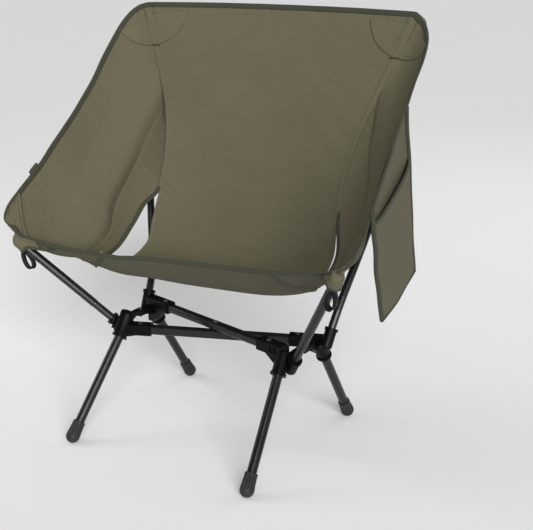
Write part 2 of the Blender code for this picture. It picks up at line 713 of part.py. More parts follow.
def make_corner_pocket(row, side_name):
    """The sewn cup that holds a pole's tip, open towards the pole."""
    path = pole_path(row, side_name)
    direction = (path[-1] - path[-2]).normalized()
    inner = POLE_SLEEVE_RADIUS + 0.0006 + FIT_GAP
    outer = inner + 0.0016
    length = POCKET_LENGTHS[row]
    cup = turned(f"corner_pocket_{row}_{side_name}",
                 [(0.0, 0.0022), (outer * 0.7, 0.0014), (outer, -0.0030), (outer, -length), (inner, -length),
                  (inner, -0.0020), (inner * 0.6, 0.0004), (0.0, 0.0004)], steps=16)
    place(cup, "patch", matrix=along(path[-1], direction))


def make_loop(side_name):
    """A webbing loop hanging under the front pole just below its corner pocket."""
    path = pole_path("front", side_name)
    direction = (path[-1] - path[0]).normalized()
    top = path[-1] - direction * LOOP_FROM_TIP
    outline = bpy.data.curves.new(f"gear_loop_{side_name}", "CURVE")
    outline.dimensions = "2D"
    outline.fill_mode = "BOTH"
    outline.extrude = LOOP_BREADTH / 2
    for inset in (0.0, LOOP_STRAP):
        width, height = LOOP_WIDTH - 2 * inset, LOOP_LENGTH - 2 * inset
        ring = rounded_rectangle(width, height, width / 2 - 0.0002, 6)
        spline = outline.splines.new("POLY")
        spline.points.add(len(ring) - 1)
        for target, (x, y) in zip(spline.points, ring):
            target.co = (x, y - LOOP_LENGTH / 2, 0.0, 1.0)
        spline.use_cyclic_u = True
    loop = bpy.data.objects.new(f"gear_loop_{side_name}", outline)
    up = (Vector((0.0, 0.0, 1.0)) - direction * direction.z).normalized()
    turn = Matrix((direction, up, direction.cross(up))).transposed().to_4x4()
    drop = up * (POLE_SLEEVE_RADIUS + 0.0006)
    place(loop, "webbing", matrix=Matrix.Translation(top - drop) @ turn)


# ---- side pouch ----
def make_pouch():
    """A flat pouch hung from the right wing's edge, open along its slanting mouth."""

    def plate(points, low, high):
        return swept_outline([(low, y, z) for y, z in points], (high - low, 0.0, 0.0), centred=False)

    lower = [POUCH_MOUTH_FRONT, POUCH_MOUTH_REAR, POUCH_REAR_LOW, POUCH_FRONT_LOW]
    centre = sum(lower, Vector((0.0, 0.0))) / 4
    cavity = [point + (centre - point).normalized() * 0.006 for point in lower]
    cavity[0] = POUCH_MOUTH_FRONT + Vector((0.0060, 0.0500))
    cavity[1] = POUCH_MOUTH_REAR + Vector((-0.0060, 0.0500))
    front = [centre + (point - centre) * 1.012 for point in lower]

    outline = [POUCH_FRONT_TOP, POUCH_REAR_TOP, POUCH_REAR_LOW, POUCH_FRONT_LOW]
    body = mesh_object("side_pouch", plate(outline, 0.0, POUCH_SKIN))
    level = Matrix.Identity(4)
    solid = combine(body, [(plate(front, POUCH_SKIN / 2, POUCH_DEPTH), level)], "UNION")
    solid = combine(solid, [(plate(cavity, POUCH_SKIN, POUCH_DEPTH - POUCH_SKIN), level)], "DIFFERENCE")
    corner = Vector((0.0, *POUCH_FRONT_TOP))
    solid.data.transform(Matrix.Translation(-corner))
    turn = Matrix.Rotation(POUCH_TURN, 4, "Z")
    place(solid, "fabric", matrix=Matrix.Translation(POUCH_BASE) @ turn @ Matrix.Translation(corner))


# ---- build ----
make_base()
for row_name in ("front", "rear"):
    for side_word in SIDES:
        make_leg(row_name, side_word)
        make_pole(row_name, side_word)
        make_corner_pocket(row_name, side_word)
make_centre_panel()
for side_word in SIDES:
    make_wing(side_word)
    make_loop(side_word)
make_pouch()
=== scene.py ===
"""Looks of the ultralight camp chair: fabric sling, bound edges, tubes, moulded hubs and ribbed feet.

Metres, +Z up, the chair faces -Y. Soft shapes are laid out around the middle of the base, as the solids are,
and moved by ORIGIN. "left" is -X and "right" is +X.
"""
import math

import bmesh
import bpy
import numpy as np
from mathutils import Matrix, Vector
from mathutils.bvhtree import BVHTree


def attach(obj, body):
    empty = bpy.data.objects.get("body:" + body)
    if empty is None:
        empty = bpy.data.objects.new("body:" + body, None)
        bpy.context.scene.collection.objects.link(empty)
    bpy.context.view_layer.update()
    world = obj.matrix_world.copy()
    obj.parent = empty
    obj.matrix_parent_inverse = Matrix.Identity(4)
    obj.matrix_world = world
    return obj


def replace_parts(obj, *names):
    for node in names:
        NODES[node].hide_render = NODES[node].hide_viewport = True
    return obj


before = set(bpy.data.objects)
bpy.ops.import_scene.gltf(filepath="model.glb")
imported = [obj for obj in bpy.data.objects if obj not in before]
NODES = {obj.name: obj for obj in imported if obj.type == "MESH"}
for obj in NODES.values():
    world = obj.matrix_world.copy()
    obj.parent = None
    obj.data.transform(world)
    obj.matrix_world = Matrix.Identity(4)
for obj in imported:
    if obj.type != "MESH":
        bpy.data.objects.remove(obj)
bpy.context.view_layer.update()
ORIGIN = np.array((-0.0026, 0.0291, 0.0))
SIDES = {"left": -1.0, "right": 1.0}
ROW_NAMES = ("front", "rear")

# ---- the sling's layout ----
CENTRE_LINE = [(0.0, y, z) for y, z in (
    (-0.0980, 0.2910), (-0.0800, 0.2540), (-0.0480, 0.2370), (-0.0100, 0.2320), (0.0280, 0.2450),
    (0.0560, 0.2860), (0.0780, 0.3460), (0.0970, 0.4240), (0.1120, 0.5000), (0.1260, 0.5780),
    (0.1380, 0.6475))]
UPPER_SEAM = [(0.1645, 0.0480, 0.3530), (0.1640, 0.0690, 0.4120), (0.1760, 0.0900, 0.4720),
              (0.1990, 0.1060, 0.5350), (0.2430, 0.1300, 0.6445)]
PANEL_EDGE = [(0.1500, -0.1160, 0.2955), (0.1860, -0.1040, 0.2795), (0.1860, -0.0710, 0.2640),
              (0.1710, -0.0320, 0.2600), (0.1660, 0.0050, 0.2760), (0.1690, 0.0260, 0.3020)] + UPPER_SEAM
WING_INNER = [(0.1500, -0.1160, 0.2955), (0.1730, -0.1110, 0.2818), (0.1980, -0.0860, 0.2715),
              (0.1880, -0.0400, 0.2800), (0.1860, -0.0100, 0.3000), (0.1770, 0.0200, 0.3300)] + UPPER_SEAM
WING_CORNERS = {
    "left": [(0.2960, -0.1760, 0.3250), (0.3000, -0.1690, 0.3450), (0.2970, -0.1400, 0.3710)],
    "right": [(0.2880, -0.1680, 0.3260), (0.2950, -0.1500, 0.3630), (0.2950, -0.1250, 0.3820)]}
WING_OUTER = [(0.2900, -0.1000, 0.4050), (0.2870, -0.0750, 0.4300), (0.2835, -0.0500, 0.4540),
              (0.2820, -0.0250, 0.4760), (0.2810, 0.0000, 0.5005), (0.2795, 0.0250, 0.5265),
              (0.2790, 0.0500, 0.5570), (0.2790, 0.0750, 0.5835)]
WING_TOPS = {"left": [(0.2770, 0.1010, 0.6110), (0.2700, 0.1180, 0.6290), (0.2590, 0.1270, 0.6395)],
             "right": [(0.2745, 0.0990, 0.6070), (0.2630, 0.1190, 0.6250), (0.2500, 0.1280, 0.6370)]}
HEM = [(0.1500, -0.1160, 0.2955), (0.2000, -0.1315, 0.3025), (0.2515, -0.1510, 0.3145)]
VENT_APEX = 0.6                 # share of the seam's length where the slot between seat and wing ends
CLOTH = 0.0009                  # thickness of the cloth
PATCH_CLOTH = 0.0007            # and of the sewn-on reinforcements

FRONT_TIPS = {"left": (-0.2830, -0.1600, 0.2950), "right": (0.2725, -0.1580, 0.3280)}
FRONT_POLE_SOCKET = (0.1690, -0.0820, 0.1671)
REAR_TIP = (0.2425, 0.1425, 0.6260)
REAR_POLE_BENDS = [(0.1790, 0.0400, 0.2250), (0.2040, 0.0720, 0.3300), (0.2240, 0.0960, 0.4300),
                   (0.2330, 0.1120, 0.5300)]

FRONT_TILT = 0.021              # drop of the sling's front at the left corner, and its rise at the right
FRONT_HALF_WIDTH = 0.29
SAG = {"depth": 0.008, "x": -0.165, "reach": 0.045}     # a dip beside the left slot
SEAT_PULL = 0.006               # how far the low seat is drawn to the right
SEAT_ROUNDING = (2.2, 0.9)      # flatness of the panel's cross-section, and its increase at the front
WING_BULGE = (0.012, 0.010, 0.0)
WING_DROOP = 0.028
CORNER_REACH = (0.17, 0.055)    # how far the rounding of a front corner goes, as shares of the wing
CORNER_PUSH = (-0.007, 0.007, 0.006)


# ---- curves and surfaces ----
def unit(vectors):
    vectors = np.asarray(vectors, float)
    return vectors / np.maximum(np.linalg.norm(vectors, axis=-1, keepdims=True), 1e-12)


def ease(values):
    values = np.clip(values, 0.0, 1.0)
    return values * values * (3.0 - 2.0 * values)


def hump(values, middle, reach):
    return np.exp(-((values - middle) / reach) ** 2)


def catmull(points, share):
    """Points on a smooth curve through the given ones; share runs from 0 to 1 over all its spans."""
    points = np.asarray(points, float)
    padded = np.vstack([2 * points[0] - points[1], points, 2 * points[-1] - points[-2]])
    place = np.clip(np.asarray(share, float), 0.0, 1.0) * (len(points) - 1)
    index = np.minimum(place.astype(int), len(points) - 2)
    t = (place - index)[..., None]
    p0, p1, p2, p3 = (padded[index + step] for step in range(4))
    return 0.5 * (2 * p1 + (p2 - p0) * t + (2 * p0 - 5 * p1 + 4 * p2 - p3) * t ** 2
                  + (3 * p1 - p0 - 3 * p2 + p3) * t ** 3)


def lengths_along(points):
    return np.concatenate([[0.0], np.cumsum(np.linalg.norm(np.diff(points, axis=0), axis=1))])


def even_path(points, spacing=0.0025):
    """The same curve with points evenly spaced along its length."""
    points = np.asarray(points, float)
    lengths = lengths_along(points)
    count = max(2, int(round(lengths[-1] / spacing)) + 1)
    wanted = np.linspace(0.0, lengths[-1], count)
    return np.stack([np.interp(wanted, lengths, points[:, axis]) for axis in range(3)], axis=1)


def sway(points):
    """The fabric's front hangs lower at its left corner, and the seat is pulled a little to the right."""
    x, y, z = np.moveaxis(points, -1, 0)
    low = ease((0.36 - z) / 0.06)
    behind_hem = y - HEM[0][1] + 0.002
    tilt = FRONT_TILT * x / FRONT_HALF_WIDTH * (ease((0.05 - y) / 0.20) * low)
    dip = (SAG["depth"] * hump(x, SAG["x"], SAG["reach"])
           * ease(behind_hem / 0.014) * ease((-0.030 - y) / 0.04))
    inside = ease((0.24 - np.abs(x)) / 0.05) * ease(behind_hem / 0.04)
    pull = SEAT_PULL * inside * ease((0.05 - y) / 0.05) * low
    return np.stack([x + pull, y, z + tilt - dip], axis=-1)


def panel_point(u, v):
    """The seat-and-back panel: u from -1 at the left seam to 1 at the right, v from the hem to the top."""
    u, v = np.broadcast_arrays(np.asarray(u, float), np.asarray(v, float))
    border, middle = catmull(PANEL_EDGE, v), catmull(CENTRE_LINE, v)
    power = SEAT_ROUNDING[0] + SEAT_ROUNDING[1] * ease((0.35 - v) / 0.25)
    depth = (1.0 - np.abs(u) ** power)[..., None]
    point = border + (middle - border) * depth
    point[..., 0] = border[..., 0] * u
    return sway(point)


def wing_point(side_name, u, v):
    """A wing: u from its seam to its outer edge, v from the front hem to the top."""
    u, v = np.broadcast_arrays(np.asarray(u, float), np.asarray(v, float))
    outline = WING_CORNERS[side_name] + WING_OUTER + WING_TOPS[side_name]
    inner = np.where((v >= VENT_APEX)[..., None], catmull(PANEL_EDGE, v), catmull(WING_INNER, v))
    outer = catmull(outline, v)
    share = u[..., None]
    point = inner + (outer - inner) * share
    hem = catmull([*HEM, outline[0]], u)
    straight = np.array(HEM[0]) + (np.array(outline[0]) - np.array(HEM[0])) * share
    point += (hem - straight) * ((1.0 - v) ** 3)[..., None]
    point += np.array(WING_BULGE) * (np.sin(math.pi * u) * np.sin(math.pi * v))[..., None]
    point[..., 2] -= WING_DROOP * np.sin(math.pi * u ** 1.3) * np.sin(math.pi * np.minimum(v / 0.28, 1.0))
    from_corner = np.hypot((1.0 - u) / CORNER_REACH[0], v / CORNER_REACH[1])
    point += np.array(CORNER_PUSH) * np.clip(1.0 - from_corner, 0.0, 1.0)[..., None] ** 1.5
    point[..., 0] *= SIDES[side_name]
    return sway(point)


def grid_crosses(points):
    """The upright direction at each point of a grid, not of unit length."""
    return np.cross(np.gradient(points, axis=1), np.gradient(points, axis=0))


def faces_away(directions, facing):
    """Whether directions point away from a given one on average."""
    return (directions.reshape(-1, 3) @ np.array(facing)).mean() < 0


def surface_normals(points, facing):
    """Unit normals of a grid of points, on the side that faces the given direction."""
    normals = unit(grid_crosses(points))
    return -normals if faces_away(normals, facing) else normals


# ---- meshes ----
def add_object(name, data):
    obj = bpy.data.objects.new(name, data)
    bpy.context.scene.collection.objects.link(obj)
    return obj


def mesh_from(name, vertices, faces, uvs=None):
    """A smooth mesh object from points laid out around the base's middle."""
    vertices = np.asarray(vertices, float).reshape(-1, 3)
    mesh = bpy.data.meshes.new(name)
    mesh.from_pydata((vertices + ORIGIN).tolist(), [], faces)
    if uvs is not None:
        layer = mesh.uv_layers.new(name="cloth")
        flat = np.asarray(uvs, float).reshape(-1, 2)
        loops = np.zeros(len(mesh.loops), int)
        mesh.loops.foreach_get("vertex_index", loops)
        layer.data.foreach_set("uv", flat[loops].ravel())
    mesh.shade_smooth()
    return add_object(name, mesh)


def grid_faces(rows, columns, closed=False, start=0):
    faces = []
    for row in range(rows - 1):
        for column in range(columns if closed else columns - 1):
            after = (column + 1) % columns
            a, b = start + row * columns + column, start + row * columns + after
            faces.append((a, b, b + columns, a + columns))
    return faces


def distances(points):
    """How far each grid point is along its row and along its column, in metres."""
    across, along = np.zeros(points.shape[:2]), np.zeros(points.shape[:2])
    across[:, 1:] = np.cumsum(np.linalg.norm(np.diff(points, axis=1), axis=2), axis=1)
    along[1:] = np.cumsum(np.linalg.norm(np.diff(points, axis=0), axis=2), axis=0)
    return across, along


def grid_uvs(points):
    """Texture coordinates in metres, measured along and across the cloth from its middle column."""
    across, along = distances(points)
    middle = slice(points.shape[1] // 2, points.shape[1] // 2 + 1)
    return np.stack([across - across[:, middle], np.broadcast_to(along[:, middle], along.shape)], axis=-1)


def cloth_sheet(name, points, facing, thickness=CLOTH):
    """A sheet of cloth through a grid of points, with its good side facing a direction."""
    faces = grid_faces(*points.shape[:2])
    if faces_away(grid_crosses(points), facing):
        faces = [face[::-1] for face in faces]
    obj = mesh_from(name, points, faces, grid_uvs(points))
    solid = obj.modifiers.new("thickness", "SOLIDIFY")
    solid.thickness = thickness
    solid.offset = 0.0
    return obj


def path_frames(path, normals, inward=None):
    """Sideways directions and square normals along a path; sideways follows inward, where that is given."""
    tangents = unit(np.gradient(path, axis=0))
    sideways = unit(np.cross(normals, tangents))
    normals = unit(np.cross(tangents, sideways))
    if inward is not None and faces_away(sideways, inward):
        sideways = -sideways
    return sideways, normals


def ring_mesh(name, rings, closed_path=False):
    """A tube through rings of points, with its ends closed or joined to each other."""
    rows, columns = rings.shape[:2]
    faces = grid_faces(rows, columns, closed=True)
    last = (rows - 1) * columns
    if closed_path:
        faces += [(last + c, last + (c + 1) % columns, (c + 1) % columns, c) for c in range(columns)]
    else:
        faces += [tuple(range(columns))[::-1], tuple(range(last, rows * columns))]
    obj = mesh_from(name, rings, faces)
    fix_normals(obj)
    return obj


def swept(name, path, sideways, normals, section, closed_path=False):
    """A closed section of (sideways, normal) offsets carried along a path."""
    section = np.asarray(section, float)
    rings = path[:, None] + sideways[:, None] * section[None, :, :1] + normals[:, None] * section[None, :, 1:]
    return ring_mesh(name, rings, closed_path)


def fix_normals(obj):
    bm = bmesh.new()
    bm.from_mesh(obj.data)
    bmesh.ops.recalc_face_normals(bm, faces=bm.faces)
    bm.to_mesh(obj.data)
    bm.free()


def joined(name, objects):
    """One object from the meshes of several."""
    bm = bmesh.new()
    for obj in objects:
        bm.from_mesh(obj.data)
    mesh = bpy.data.meshes.new(name)
    bm.to_mesh(mesh)
    bm.free()
    for obj in objects:
        bpy.data.objects.remove(obj, do_unlink=True)
    return add_object(name, mesh)


# ---- materials ----
def rgba(red, green, blue):
    return (red, green, blue, 1.0)


def times(color, factor):
    """A colour made darker or lighter."""
    return rgba(*(min(1.0, channel * factor) for channel in color[:3]))


class Shader:
    """A node material built up in a few calls. A value is a number, a colour or another node's socket."""

    def __init__(self, name):
        self.material = bpy.data.materials.new(name)
        self.material.use_nodes = True
        self.tree = self.material.node_tree

    def fill(self, node, inputs):
        for key, value in inputs.items():
            if isinstance(value, bpy.types.NodeSocket):
                self.tree.links.new(value, node.inputs[key])
            else:
                node.inputs[key].default_value = value
        return node

    def node(self, kind, inputs, **settings):
        node = self.tree.nodes.new(kind)
        for key, value in settings.items():
            setattr(node, key, value)
        return self.fill(node, inputs)

    def place(self):
        return self.node("ShaderNodeTexCoord", {}).outputs["Object"]

    def math(self, operation, a, b=None, c=None):
        given = {index: value for index, value in enumerate((a, b, c)) if value is not None}
        return self.node("ShaderNodeMath", given, operation=operation).outputs[0]

    def mix(self, share, a, b):
        return self.node("ShaderNodeMix", {0: share, 6: a, 7: b}, data_type="RGBA").outputs[2]

    def wave(self, angle):
        """A sine wave between 0 and 1."""
        return self.math("MULTIPLY_ADD", self.math("SINE", angle), 0.5, 0.5)

    def noise(self, vector, scale, detail=3.0, roughness=0.5):
        return self.node("ShaderNodeTexNoise", {"Vector": vector, "Scale": scale, "Detail": detail,
                                                "Roughness": roughness}).outputs["Fac"]

    def ramp(self, value, low, high, to_low=0.0, to_high=1.0):
        return self.node("ShaderNodeMapRange", {0: value, 1: low, 2: high, 3: to_low, 4: to_high}).outputs[0]

    def bump(self, height, strength, distance, after=None):
        inputs = {"Height": height, "Strength": strength, "Distance": distance}
        if after is not None:
            inputs["Normal"] = after
        return self.node("ShaderNodeBump", inputs).outputs["Normal"]

    def set(self, color, roughness, normal, specular, **others):
        own = {"Base Color": color, "Roughness": roughness, "Normal": normal, "Specular IOR Level": specular}
        self.fill(self.tree.nodes["Principled BSDF"], own | others)
        return self.material


THREAD_PITCH = 0.00075
CLOTH_SHEEN = {"Sheen Weight": 0.06, "Sheen Roughness": 0.5, "Sheen Tint": rgba(0.62, 0.60, 0.50)}
TAPE_SHEEN = {"Sheen Weight": 0.05, "Sheen Roughness": 0.5}


def cloth_material(name, base, use_uv=True, ripple=0.0):
    """Plain-woven cloth: crossing threads, tiny slubs, and faint uneven shading."""
    shader = Shader(name)
    metres = shader.node("ShaderNodeTexCoord", {}).outputs["UV" if use_uv else "Object"]
    split = shader.node("ShaderNodeSeparateXYZ", {0: metres})
    wobble = shader.noise(metres, 55.0, 2.0)
    turns = 2.0 * math.pi / THREAD_PITCH
    threads = [shader.wave(shader.math("MULTIPLY_ADD", split.outputs[axis], turns, wobble))
               for axis in (0, 1 if use_uv else 2)]
    weave = shader.math("MULTIPLY", *threads)
    soft = shader.noise(metres, 9.0, 4.0, 0.55)
    fine = shader.noise(metres, 420.0, 2.0, 0.6)
    dark = times(base, 0.86)
    tone = shader.math("MULTIPLY_ADD", shader.math("SUBTRACT", fine, 0.5), 1.6, soft)
    color = shader.mix(shader.ramp(tone, 0.05, 0.95), dark, times(base, 1.10))
    shaded = shader.mix(shader.math("MULTIPLY", weave, 0.30), color, dark)
    normal = shader.bump(weave, 0.40, 0.0004)
    if ripple:          # long, thin, slightly wavy ripples across the cloth
        place = shader.node("ShaderNodeMapping", {"Vector": metres, "Scale": (9.0, 150.0, 1.0)}).outputs[0]
        waves = shader.node("ShaderNodeTexNoise", {"Vector": place, "Scale": 1.0, "Detail": 2.0,
                                                   "Distortion": 1.2}).outputs["Fac"]
        normal = shader.bump(waves, ripple, 0.0012, normal)
        shaded = shader.mix(shader.ramp(waves, 0.35, 0.65, 0.0, 0.45), shaded, dark)
    return shader.set(shaded, shader.ramp(soft, 0.2, 0.8, 0.78, 0.92), normal, 0.12, **CLOTH_SHEEN)


def webbing_material(name, base, pitch=0.0011):
    """Woven tape: slanting ribs across its width, with a painted highlight on their crests."""
    shader = Shader(name)
    place = shader.place()
    x, y, z = shader.node("ShaderNodeSeparateXYZ", {0: place}).outputs
    slant = shader.math("ADD", shader.math("ADD", x, y), shader.math("MULTIPLY", z, 1.7))
    ribs = shader.wave(shader.math("MULTIPLY", slant, 2 * math.pi / pitch))
    grain = shader.noise(place, 900.0, 2.0)
    # the ribs' crests are painted lighter: a painted highlight, broken up by the grain
    crest_highlight = shader.math("MULTIPLY", ribs, shader.ramp(grain, 0.3, 0.7, 0.3, 1.0))
    normal = shader.bump(shader.math("ADD", ribs, grain), 0.4, 0.0003)
    return shader.set(shader.mix(crest_highlight, base, times(base, 1.35)), 0.86, normal, 0.12, **TAPE_SHEEN)


def moulded_material(name, base, grain=1400.0, strength=0.15):
    """Moulded plastic or rubber: fine spark-eroded grain, with soft patches that are rubbed smoother."""
    shader = Shader(name)
    place = shader.place()
    fine = shader.noise(place, grain, 2.0, 0.6)
    patch = shader.noise(place, 38.0, 4.0, 0.55)
    color = shader.mix(shader.ramp(patch, 0.42, 0.75), base, times(base, 1.6))
    gloss = shader.ramp(patch, 0.3, 0.7, 0.48, 0.34)
    return shader.set(color, gloss, shader.bump(fine, strength, 0.0002), 0.10)


def metal_material(name, base, roughness, metallic=1.0, specular=0.5):
    """Tube or turned metal: fine upright draw marks and small uneven patches in the gloss."""
    shader = Shader(name)
    place = shader.place()
    stretched = shader.node("ShaderNodeMapping", {"Vector": place, "Scale": (900.0, 900.0, 14.0)}).outputs[0]
    drawn = shader.noise(stretched, 1.0, 2.0)
    patch = shader.noise(place, 24.0, 5.0, 0.6)
    color = shader.mix(shader.ramp(patch, 0.45, 0.85, 0.0, 0.5), base, times(base, 1.5))
    blurred = shader.math("MULTIPLY_ADD", shader.math("SUBTRACT", drawn, 0.5), 0.04,
                          shader.ramp(patch, 0.3, 0.7, roughness - 0.03, roughness + 0.07))
    return shader.set(color, blurred, shader.bump(drawn, 0.03, 0.00008), specular, Metallic=metallic)


OLIVE = rgba(0.119, 0.109, 0.067)

LOOKS = {
    "sling": cloth_material("sling_cloth", OLIVE, ripple=0.30),
    # the sling's outer face: a darker copy of the olive cloth, painted shade for the underside and the belly
    "sling_outside_painted_shade": cloth_material("sling_cloth_outside_painted_shade", rgba(0.074, 0.069, 0.047), ripple=0.10),
    "lining": cloth_material("patch_cloth", OLIVE),
    "pouch": cloth_material("pouch_cloth", rgba(0.093, 0.087, 0.055)),
    "pocket": cloth_material("pocket_cloth", rgba(0.112, 0.103, 0.064), use_uv=False),
    "binding": webbing_material("binding_tape", rgba(0.043, 0.045, 0.030)),
    "thread": webbing_material("sewing_thread", rgba(0.036, 0.034, 0.022), 0.0006),
    "tape": webbing_material("black_webbing", rgba(0.006, 0.006, 0.0065)),
    "tube": metal_material("anodised_tube_black", rgba(0.0075, 0.0075, 0.0078), 0.27, 0.0, 0.36),
    "nylon": moulded_material("hub_plastic", rgba(0.0024, 0.0024, 0.0026)),
    "rubber": moulded_material("foot_rubber_black", rgba(0.0230, 0.0230, 0.0235), 900.0, 0.3),
    "rivet": metal_material("rivet_steel", rgba(0.56, 0.56, 0.54), 0.30),
    "cord": webbing_material("elastic_cord", rgba(0.030, 0.030, 0.032), 0.0008),
}


def dress(obj, look, body="frame"):
    """Gives a piece its material and its body."""
    obj.data.materials.clear()
    obj.data.materials.append(LOOKS[look])
    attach(obj, body)
    return obj


# ---- the sling's cloth ----
SITTER = (0.0, -0.7, 0.7)       # the way to the sitter from most of the cloth
WING_SITTER = {"left": (0.8, -0.5, 0.35), "right": (-0.8, -0.5, 0.35)}
# creases of the wings: depth, how far they reach towards the seam and the outer edge, and (v, u) along them
WING_CREASES = {
    "left": [(-0.0200, None, 0.0085, [(0.00, 0.14), (0.23, 0.14), (0.33, 0.155), (0.42, 0.215), (0.51, 0.245),
                                      (0.60, 0.295), (0.68, 0.270), (0.77, 0.165), (0.90, 0.02)]),
             (0.0022, 0.016, 0.022, [(0.00, 0.34), (0.33, 0.37), (0.51, 0.44), (0.68, 0.46), (0.85, 0.30)]),
             (-0.0010, 0.014, 0.018, [(0.05, 0.55), (0.28, 0.58), (0.43, 0.66), (0.63, 0.70), (0.85, 0.45)])],
    "right": [(-0.0100, None, 0.0110, [(0.00, 0.16), (0.23, 0.18), (0.42, 0.22), (0.60, 0.26), (0.77, 0.15),
                                       (0.90, 0.03)]),
              (0.0018, 0.016, 0.022, [(0.00, 0.36), (0.40, 0.42), (0.68, 0.44), (0.85, 0.28)])]}


def wander(places, lengths, phase=0.0):
    """An uneven wave, between -1 and 1, that doesn't quite repeat."""
    return sum(np.sin(2.0 * math.pi * places / length + phase + 2.3 * index)
               for index, length in enumerate(lengths)) / len(lengths)


# wrinkles along the seams and hems: their lengths, and how fast they fade away from the edge
SEAM_WRINKLES, SEAM_FADE, SEAM_SLANT = (0.0210, 0.0155, 0.0295), 0.024, 0.55
HEM_WRINKLES, HEM_FADE = (0.0170, 0.0225, 0.0125), 0.012
GRID_ROWS = 221


def seam_puckers(distance, along, strength, phase):
    """Short wrinkles that leave a sewn edge at a slant and fade within a few centimetres."""
    near = np.exp(-distance / SEAM_FADE) * ease(distance / 0.010 + 0.35)
    return strength * near * wander(along + SEAM_SLANT * distance, SEAM_WRINKLES, phase)


def hem_puckers(distance, along, strength, phase):
    return strength * np.exp(-distance / HEM_FADE) * wander(along, HEM_WRINKLES, phase)


def shares_of(rows, columns, first=0.0):
    """Shares across (u, from first to 1) and along (v, 0 to 1) for each point of a grid."""
    v, u = np.meshgrid(np.linspace(0.0, 1.0, rows), np.linspace(first, 1.0, columns), indexing="ij")
    return u, v


def panel_grid():
    """The panel with its puckers: strongest at the slots' ends and near the top, and soft waves between."""
    u, v = shares_of(GRID_ROWS, 161, -1.0)
    points = panel_point(u, v)
    across, along = distances(points)
    height = np.zeros(u.shape)
    for phase, distance in ((0.4, across), (2.1, across[:, -1:] - across)):
        pull = 0.35 + 0.65 * hump(v, 0.82, 0.12) + 0.8 * hump(v, VENT_APEX, 0.03)
        height += seam_puckers(distance, along, 0.0013, phase) * pull * ease(v / 0.08)
    height += hem_puckers(along[-1:] - along, across, 0.0007, 0.9) + hem_puckers(along, across, 0.0005, 1.7)
    uneven = along + 0.05 * wander(across, (0.31, 0.19))
    height += 0.0005 * wander(uneven, (0.085, 0.062)) * ease((v - 0.35) / 0.2)
    height += 0.0008 * wander(across + 0.4 * along, (0.22, 0.15), 1.1) * np.sin(math.pi * v)
    height *= ease(np.minimum(1 - np.abs(u), 0.04) / 0.04)
    return points + surface_normals(points, SITTER) * height[..., None]


def wing_grid(side_name):
    """A wing with its puckers and creases."""
    u, v = shares_of(GRID_ROWS, 91)
    points = wing_point(side_name, u, v)
    across, along = distances(points)
    to_edge = across[:, -1:] - across
    height = seam_puckers(across, along, 0.0010, 1.3) + hem_puckers(to_edge, along, 0.0006, 0.2)
    ends = ease((v - 0.11) / 0.20) * ease((0.92 - v) / 0.14)
    for depth, inner_reach, outer_reach, course in WING_CREASES[side_name]:
        places, shares = zip(*course)
        middle = catmull([(0.0, 0.0, share) for share in shares],
                         np.interp(v, places, np.linspace(0.0, 1.0, len(places))))[..., 2]
        offset = (u - middle) * across[:, -1:]
        seamward = (np.maximum(u / middle, 0.0) ** 1.15 if inner_reach is None
                    else np.exp(-np.abs(offset / inner_reach) ** 1.5))
        outward = np.exp(-np.abs(offset / outer_reach) ** 1.3)
        height += depth * np.where(offset < 0, seamward, outward) * ends
    height += 0.0007 * wander(across * 0.6 + along, (0.19, 0.13), 0.5) * np.sin(math.pi * u)
    height *= ease(np.minimum(u, 0.05) / 0.05) * ease(np.minimum(1 - u, 0.05) / 0.05 + 0.3)
    return points + surface_normals(points, WING_SITTER[side_name]) * height[..., None]


def picked(grid, u, v):
    """Points of a grid at shares across (u, 0 to 1) and along (v, 0 to 1) it."""
    rows, columns = grid.shape[:2]
    row, column = np.broadcast_arrays(np.asarray(v) * (rows - 1), np.asarray(u) * (columns - 1))
    r0 = np.clip(row.astype(int), 0, rows - 2)
    c0 = np.clip(column.astype(int), 0, columns - 2)
    fr, fc = (row - r0)[..., None], (column - c0)[..., None]
    return ((grid[r0, c0] * (1 - fc) + grid[r0, c0 + 1] * fc) * (1 - fr)
            + (grid[r0 + 1, c0] * (1 - fc) + grid[r0 + 1, c0 + 1] * fc) * fr)


def declare_sheet(grid):
    """Measures a sheet's grid along and across it; the sizes are not used further."""
    across, along = distances(grid)


class Cloth:
    """The sling's surface, to lay seams, stitches and patches on."""

    def __init__(self, grids):
        vertices, faces = [], []
        for grid in grids:
            start = sum(len(part) for part in vertices)
            faces += grid_faces(*grid.shape[:2], start=start)
            vertices.append(grid.reshape(-1, 3))
        self.tree = BVHTree.FromPolygons(np.vstack(vertices).tolist(), faces)

    def nearest(self, points, facing):
        """The nearest points of the cloth, and its normals on the side that faces a direction."""
        found, normals = [], []
        for point in np.asarray(points, float).reshape(-1, 3):
            place, normal, _, _ = self.tree.find_nearest(Vector(point))
            found.append(tuple(place))
            normals.append(tuple(normal if normal.dot(Vector(facing)) > 0 else -normal))
        return np.array(found), unit(np.array(normals))

    def on_sphere(self, centre, radius, directions, facing):
        """Where the cloth is at a distance from a point, in given directions."""
        points = centre + radius * unit(directions)
        for _ in range(8):
            points, _ = self.nearest(points, facing)
            points = centre + radius * unit(points - centre)
        return self.nearest(points, facing)


def smoothed(values, times=3):
    values = np.array(values, float)
    for _ in range(times):
        values[1:-1] = 0.25 * values[:-2] + 0.5 * values[1:-1] + 0.25 * values[2:]
    return values


GRIDS = {"panel": panel_grid(), "left": wing_grid("left"), "right": wing_grid("right")}
cloth = Cloth(GRIDS.values())
ROWS = GRIDS["panel"].shape[0]
APEX_ROW = int(round(VENT_APEX * (ROWS - 1)))
PANEL_COLUMN = {"left": 0, "right": -1}         # the panel grid's column along each side's seam


